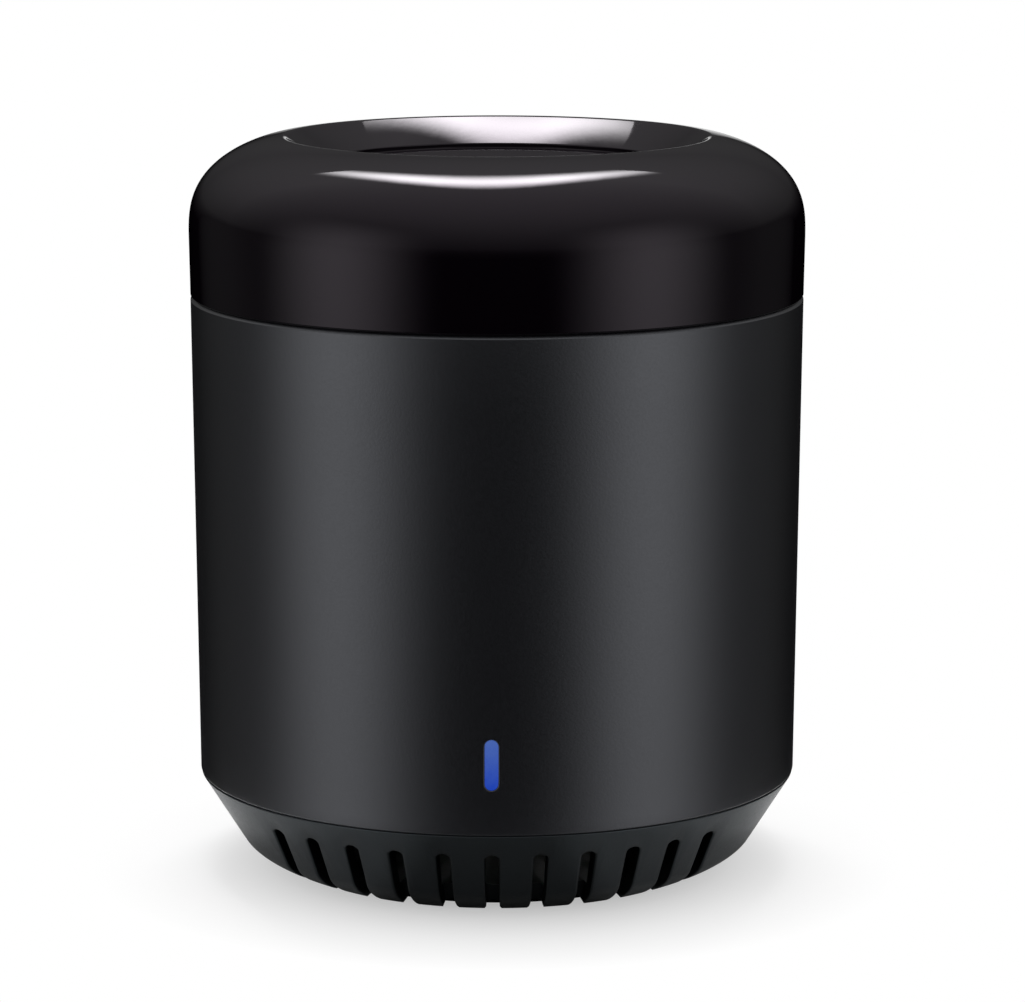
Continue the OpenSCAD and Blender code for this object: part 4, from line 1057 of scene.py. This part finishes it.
class IRB_OT_boards(bpy.types.Operator):
    """Finishes the frame, both round boards and the parts that stand on them"""
    bl_idname = "irblaster.boards"
    bl_label = "Frame and boards"

    def execute(self, context):
        # Natural ABS, moulded with a light matt texture
        dress(moulded("natural ABS", "#d9d6cb", "#cfcbbe", (0.4, 0.52), 0.25, 0.15, patch=8), "board_frame")
        dress(solder_mask(), "main_board", "ir_board")
        # Transfer-moulded black epoxy with the faint sparkle of its filler
        dress(moulded("moulded epoxy", "#151517", "#1c1c1e", (0.42, 0.56), 0.1, 0.25, patch=1.2),
              "flash_chip", "voltage_regulator", "led_drivers", "wifi_chip", "capacitor_base")
        # Pressed ferrite: dark grey, dry and slightly coarse
        dress(moulded("pressed ferrite", "#3a3a3d", "#48484b", (0.55, 0.7), 0.18, 0.4, patch=0.9),
              "power_inductor")
        # Drawn aluminium can with fine lines round it
        dress(moulded("drawn aluminium", "#c9cacd", "#bcbdc1", (0.24, 0.34), 0.15, 0.1, patch=2,
                      stretch=(0.2, 0.2, 1), sockets=METAL), "capacitor_can")
        # Fired ceramic and resistor bodies, tan and black, between bright tinned ends
        dress(chip_ends("fired ceramic", "#8a6a48"), "ceramic_capacitors")
        dress(chip_ends("glazed resistor", "#141418"), "chip_resistors")
        # Black glaze over the resistor arrays, smooth and fairly glossy
        dress(moulded("resistor glaze", "#141418", "#1c1c22", (0.25, 0.35), 0.1, 0.1, patch=0.5),
              "led_resistors")
        return {"FINISHED"}


class IRB_OT_emitters(bpy.types.Operator):
    """Finishes the ring of infrared emitters and the receiver"""
    bl_idname = "irblaster.emitters"
    bl_label = "Emitters and receiver"

    def execute(self, context):
        # Cast epoxy lens with a smoky blue tint, smooth as glass
        dress(moulded("tinted epoxy lens", "#5a6b9a", "#65779f", (0.05, 0.1), 0.5, 0.03, patch=3,
                      sockets={"IOR": 1.54, "Transmission Weight": 0.55}),
              *[f"ir_emitter_{i}" for i in range(1, 7)], "ir_emitter_up")
        # Daylight-blocking epoxy: near black with a wine tint and a clean gloss
        dress(moulded("daylight-blocking epoxy", "#120b10", "#1a1016", (0.1, 0.18), 0.4, 0.05, patch=2,
                      sockets={"IOR": 1.54}), "ir_receiver")
        return {"FINISHED"}


class IRB_OT_wireless(bpy.types.Operator):
    """Finishes the wireless module that stands between the boards"""
    bl_idname = "irblaster.wireless"
    bl_label = "Wireless module"

    def execute(self, context):
        # Blue solder mask over glass epoxy, even and softly glossy
        dress(moulded("blue solder mask", "#123a74", "#164685", (0.24, 0.36), 0.3, 0.1, patch=2.5),
              "wifi_board")
        # Stamped tinplate can, lightly spangled
        dress(moulded("stamped tinplate", "#bdbdbf", "#acadb0", (0.26, 0.4), 0.4, 0.12, patch=1.5,
                      sockets=METAL), "wifi_shield", "wifi_crystal")
        # Glass-filled header strip, matt black
        dress(moulded("header plastic", "#131315", "#1b1b1d", (0.4, 0.52), 0.15, 0.2, patch=1), "wifi_header")
        return {"FINISHED"}


class IRB_OT_harness(bpy.types.Operator):
    """Finishes the plugs, the sockets and the wires between the boards"""
    bl_idname = "irblaster.harness"
    bl_label = "Harness"

    def execute(self, context):
        # Natural nylon: creamy, with a soft sheen
        dress(moulded("natural nylon", "#e4dfcd", "#dad4bf", (0.36, 0.48), 0.2, 0.1, patch=1.5),
              "link_socket_lower", "link_plug_lower", "link_socket_upper", "link_plug_upper")
        dress(wire_jackets(), "link_wires")
        return {"FINISHED"}


class IRB_OT_screws(bpy.types.Operator):
    """Finishes the four base screws and the four board screws"""
    bl_idname = "irblaster.screws"
    bl_label = "Screws"

    def execute(self, context):
        # Zinc-plated steel with a faint blue cast
        dress(moulded("zinc-plated steel", "#b4b7bd", "#a3a6ae", (0.28, 0.4), 0.12, 0.15, patch=0.8,
                      sockets=METAL), "base_screws", "board_screws")
        return {"FINISHED"}


OPERATORS = (IRB_OT_stage, IRB_OT_cover, IRB_OT_sleeve, IRB_OT_base, IRB_OT_foot_pad, IRB_OT_status_light,
             IRB_OT_inlet, IRB_OT_boards, IRB_OT_emitters, IRB_OT_wireless, IRB_OT_harness, IRB_OT_screws)


class IRB_PT_panel(bpy.types.Panel):
    """Lists the pieces of the blaster and their sizes"""
    bl_label = "Smart IR blaster"
    bl_idname = "IRB_PT_panel"
    bl_space_type = "VIEW_3D"
    bl_region_type = "UI"
    bl_category = "IR blaster"

    def draw(self, context):
        for kind in OPERATORS:
            self.layout.operator(kind.bl_idname)
        for key, group in GROUPS.items():
            box = self.layout.box()
            box.label(text=group.__doc__)
            for name in group.__annotations__:
                box.prop(getattr(context.scene, key), name)


CLASSES = (*GROUPS.values(), *OPERATORS, IRB_PT_panel)


def register():
    """Registers the classes and hangs the settings on the scene."""
    for kind in CLASSES:
        bpy.utils.register_class(kind)
    for key, group in GROUPS.items():
        setattr(bpy.types.Scene, key, PointerProperty(type=group))


def unregister():
    """Takes the settings and the classes away again."""
    for key in GROUPS:
        delattr(bpy.types.Scene, key)
    for kind in reversed(CLASSES):
        bpy.utils.unregister_class(kind)


def main():
    register()
    TREES.update(turned=turning_tree(), cut=ring_tree("DIFFERENCE"), join=ring_tree("UNION"))
    for kind in OPERATORS:
        group, name = kind.bl_idname.split(".")
        getattr(getattr(bpy.ops, group), name)()


if __name__ == "__main__":
    main()
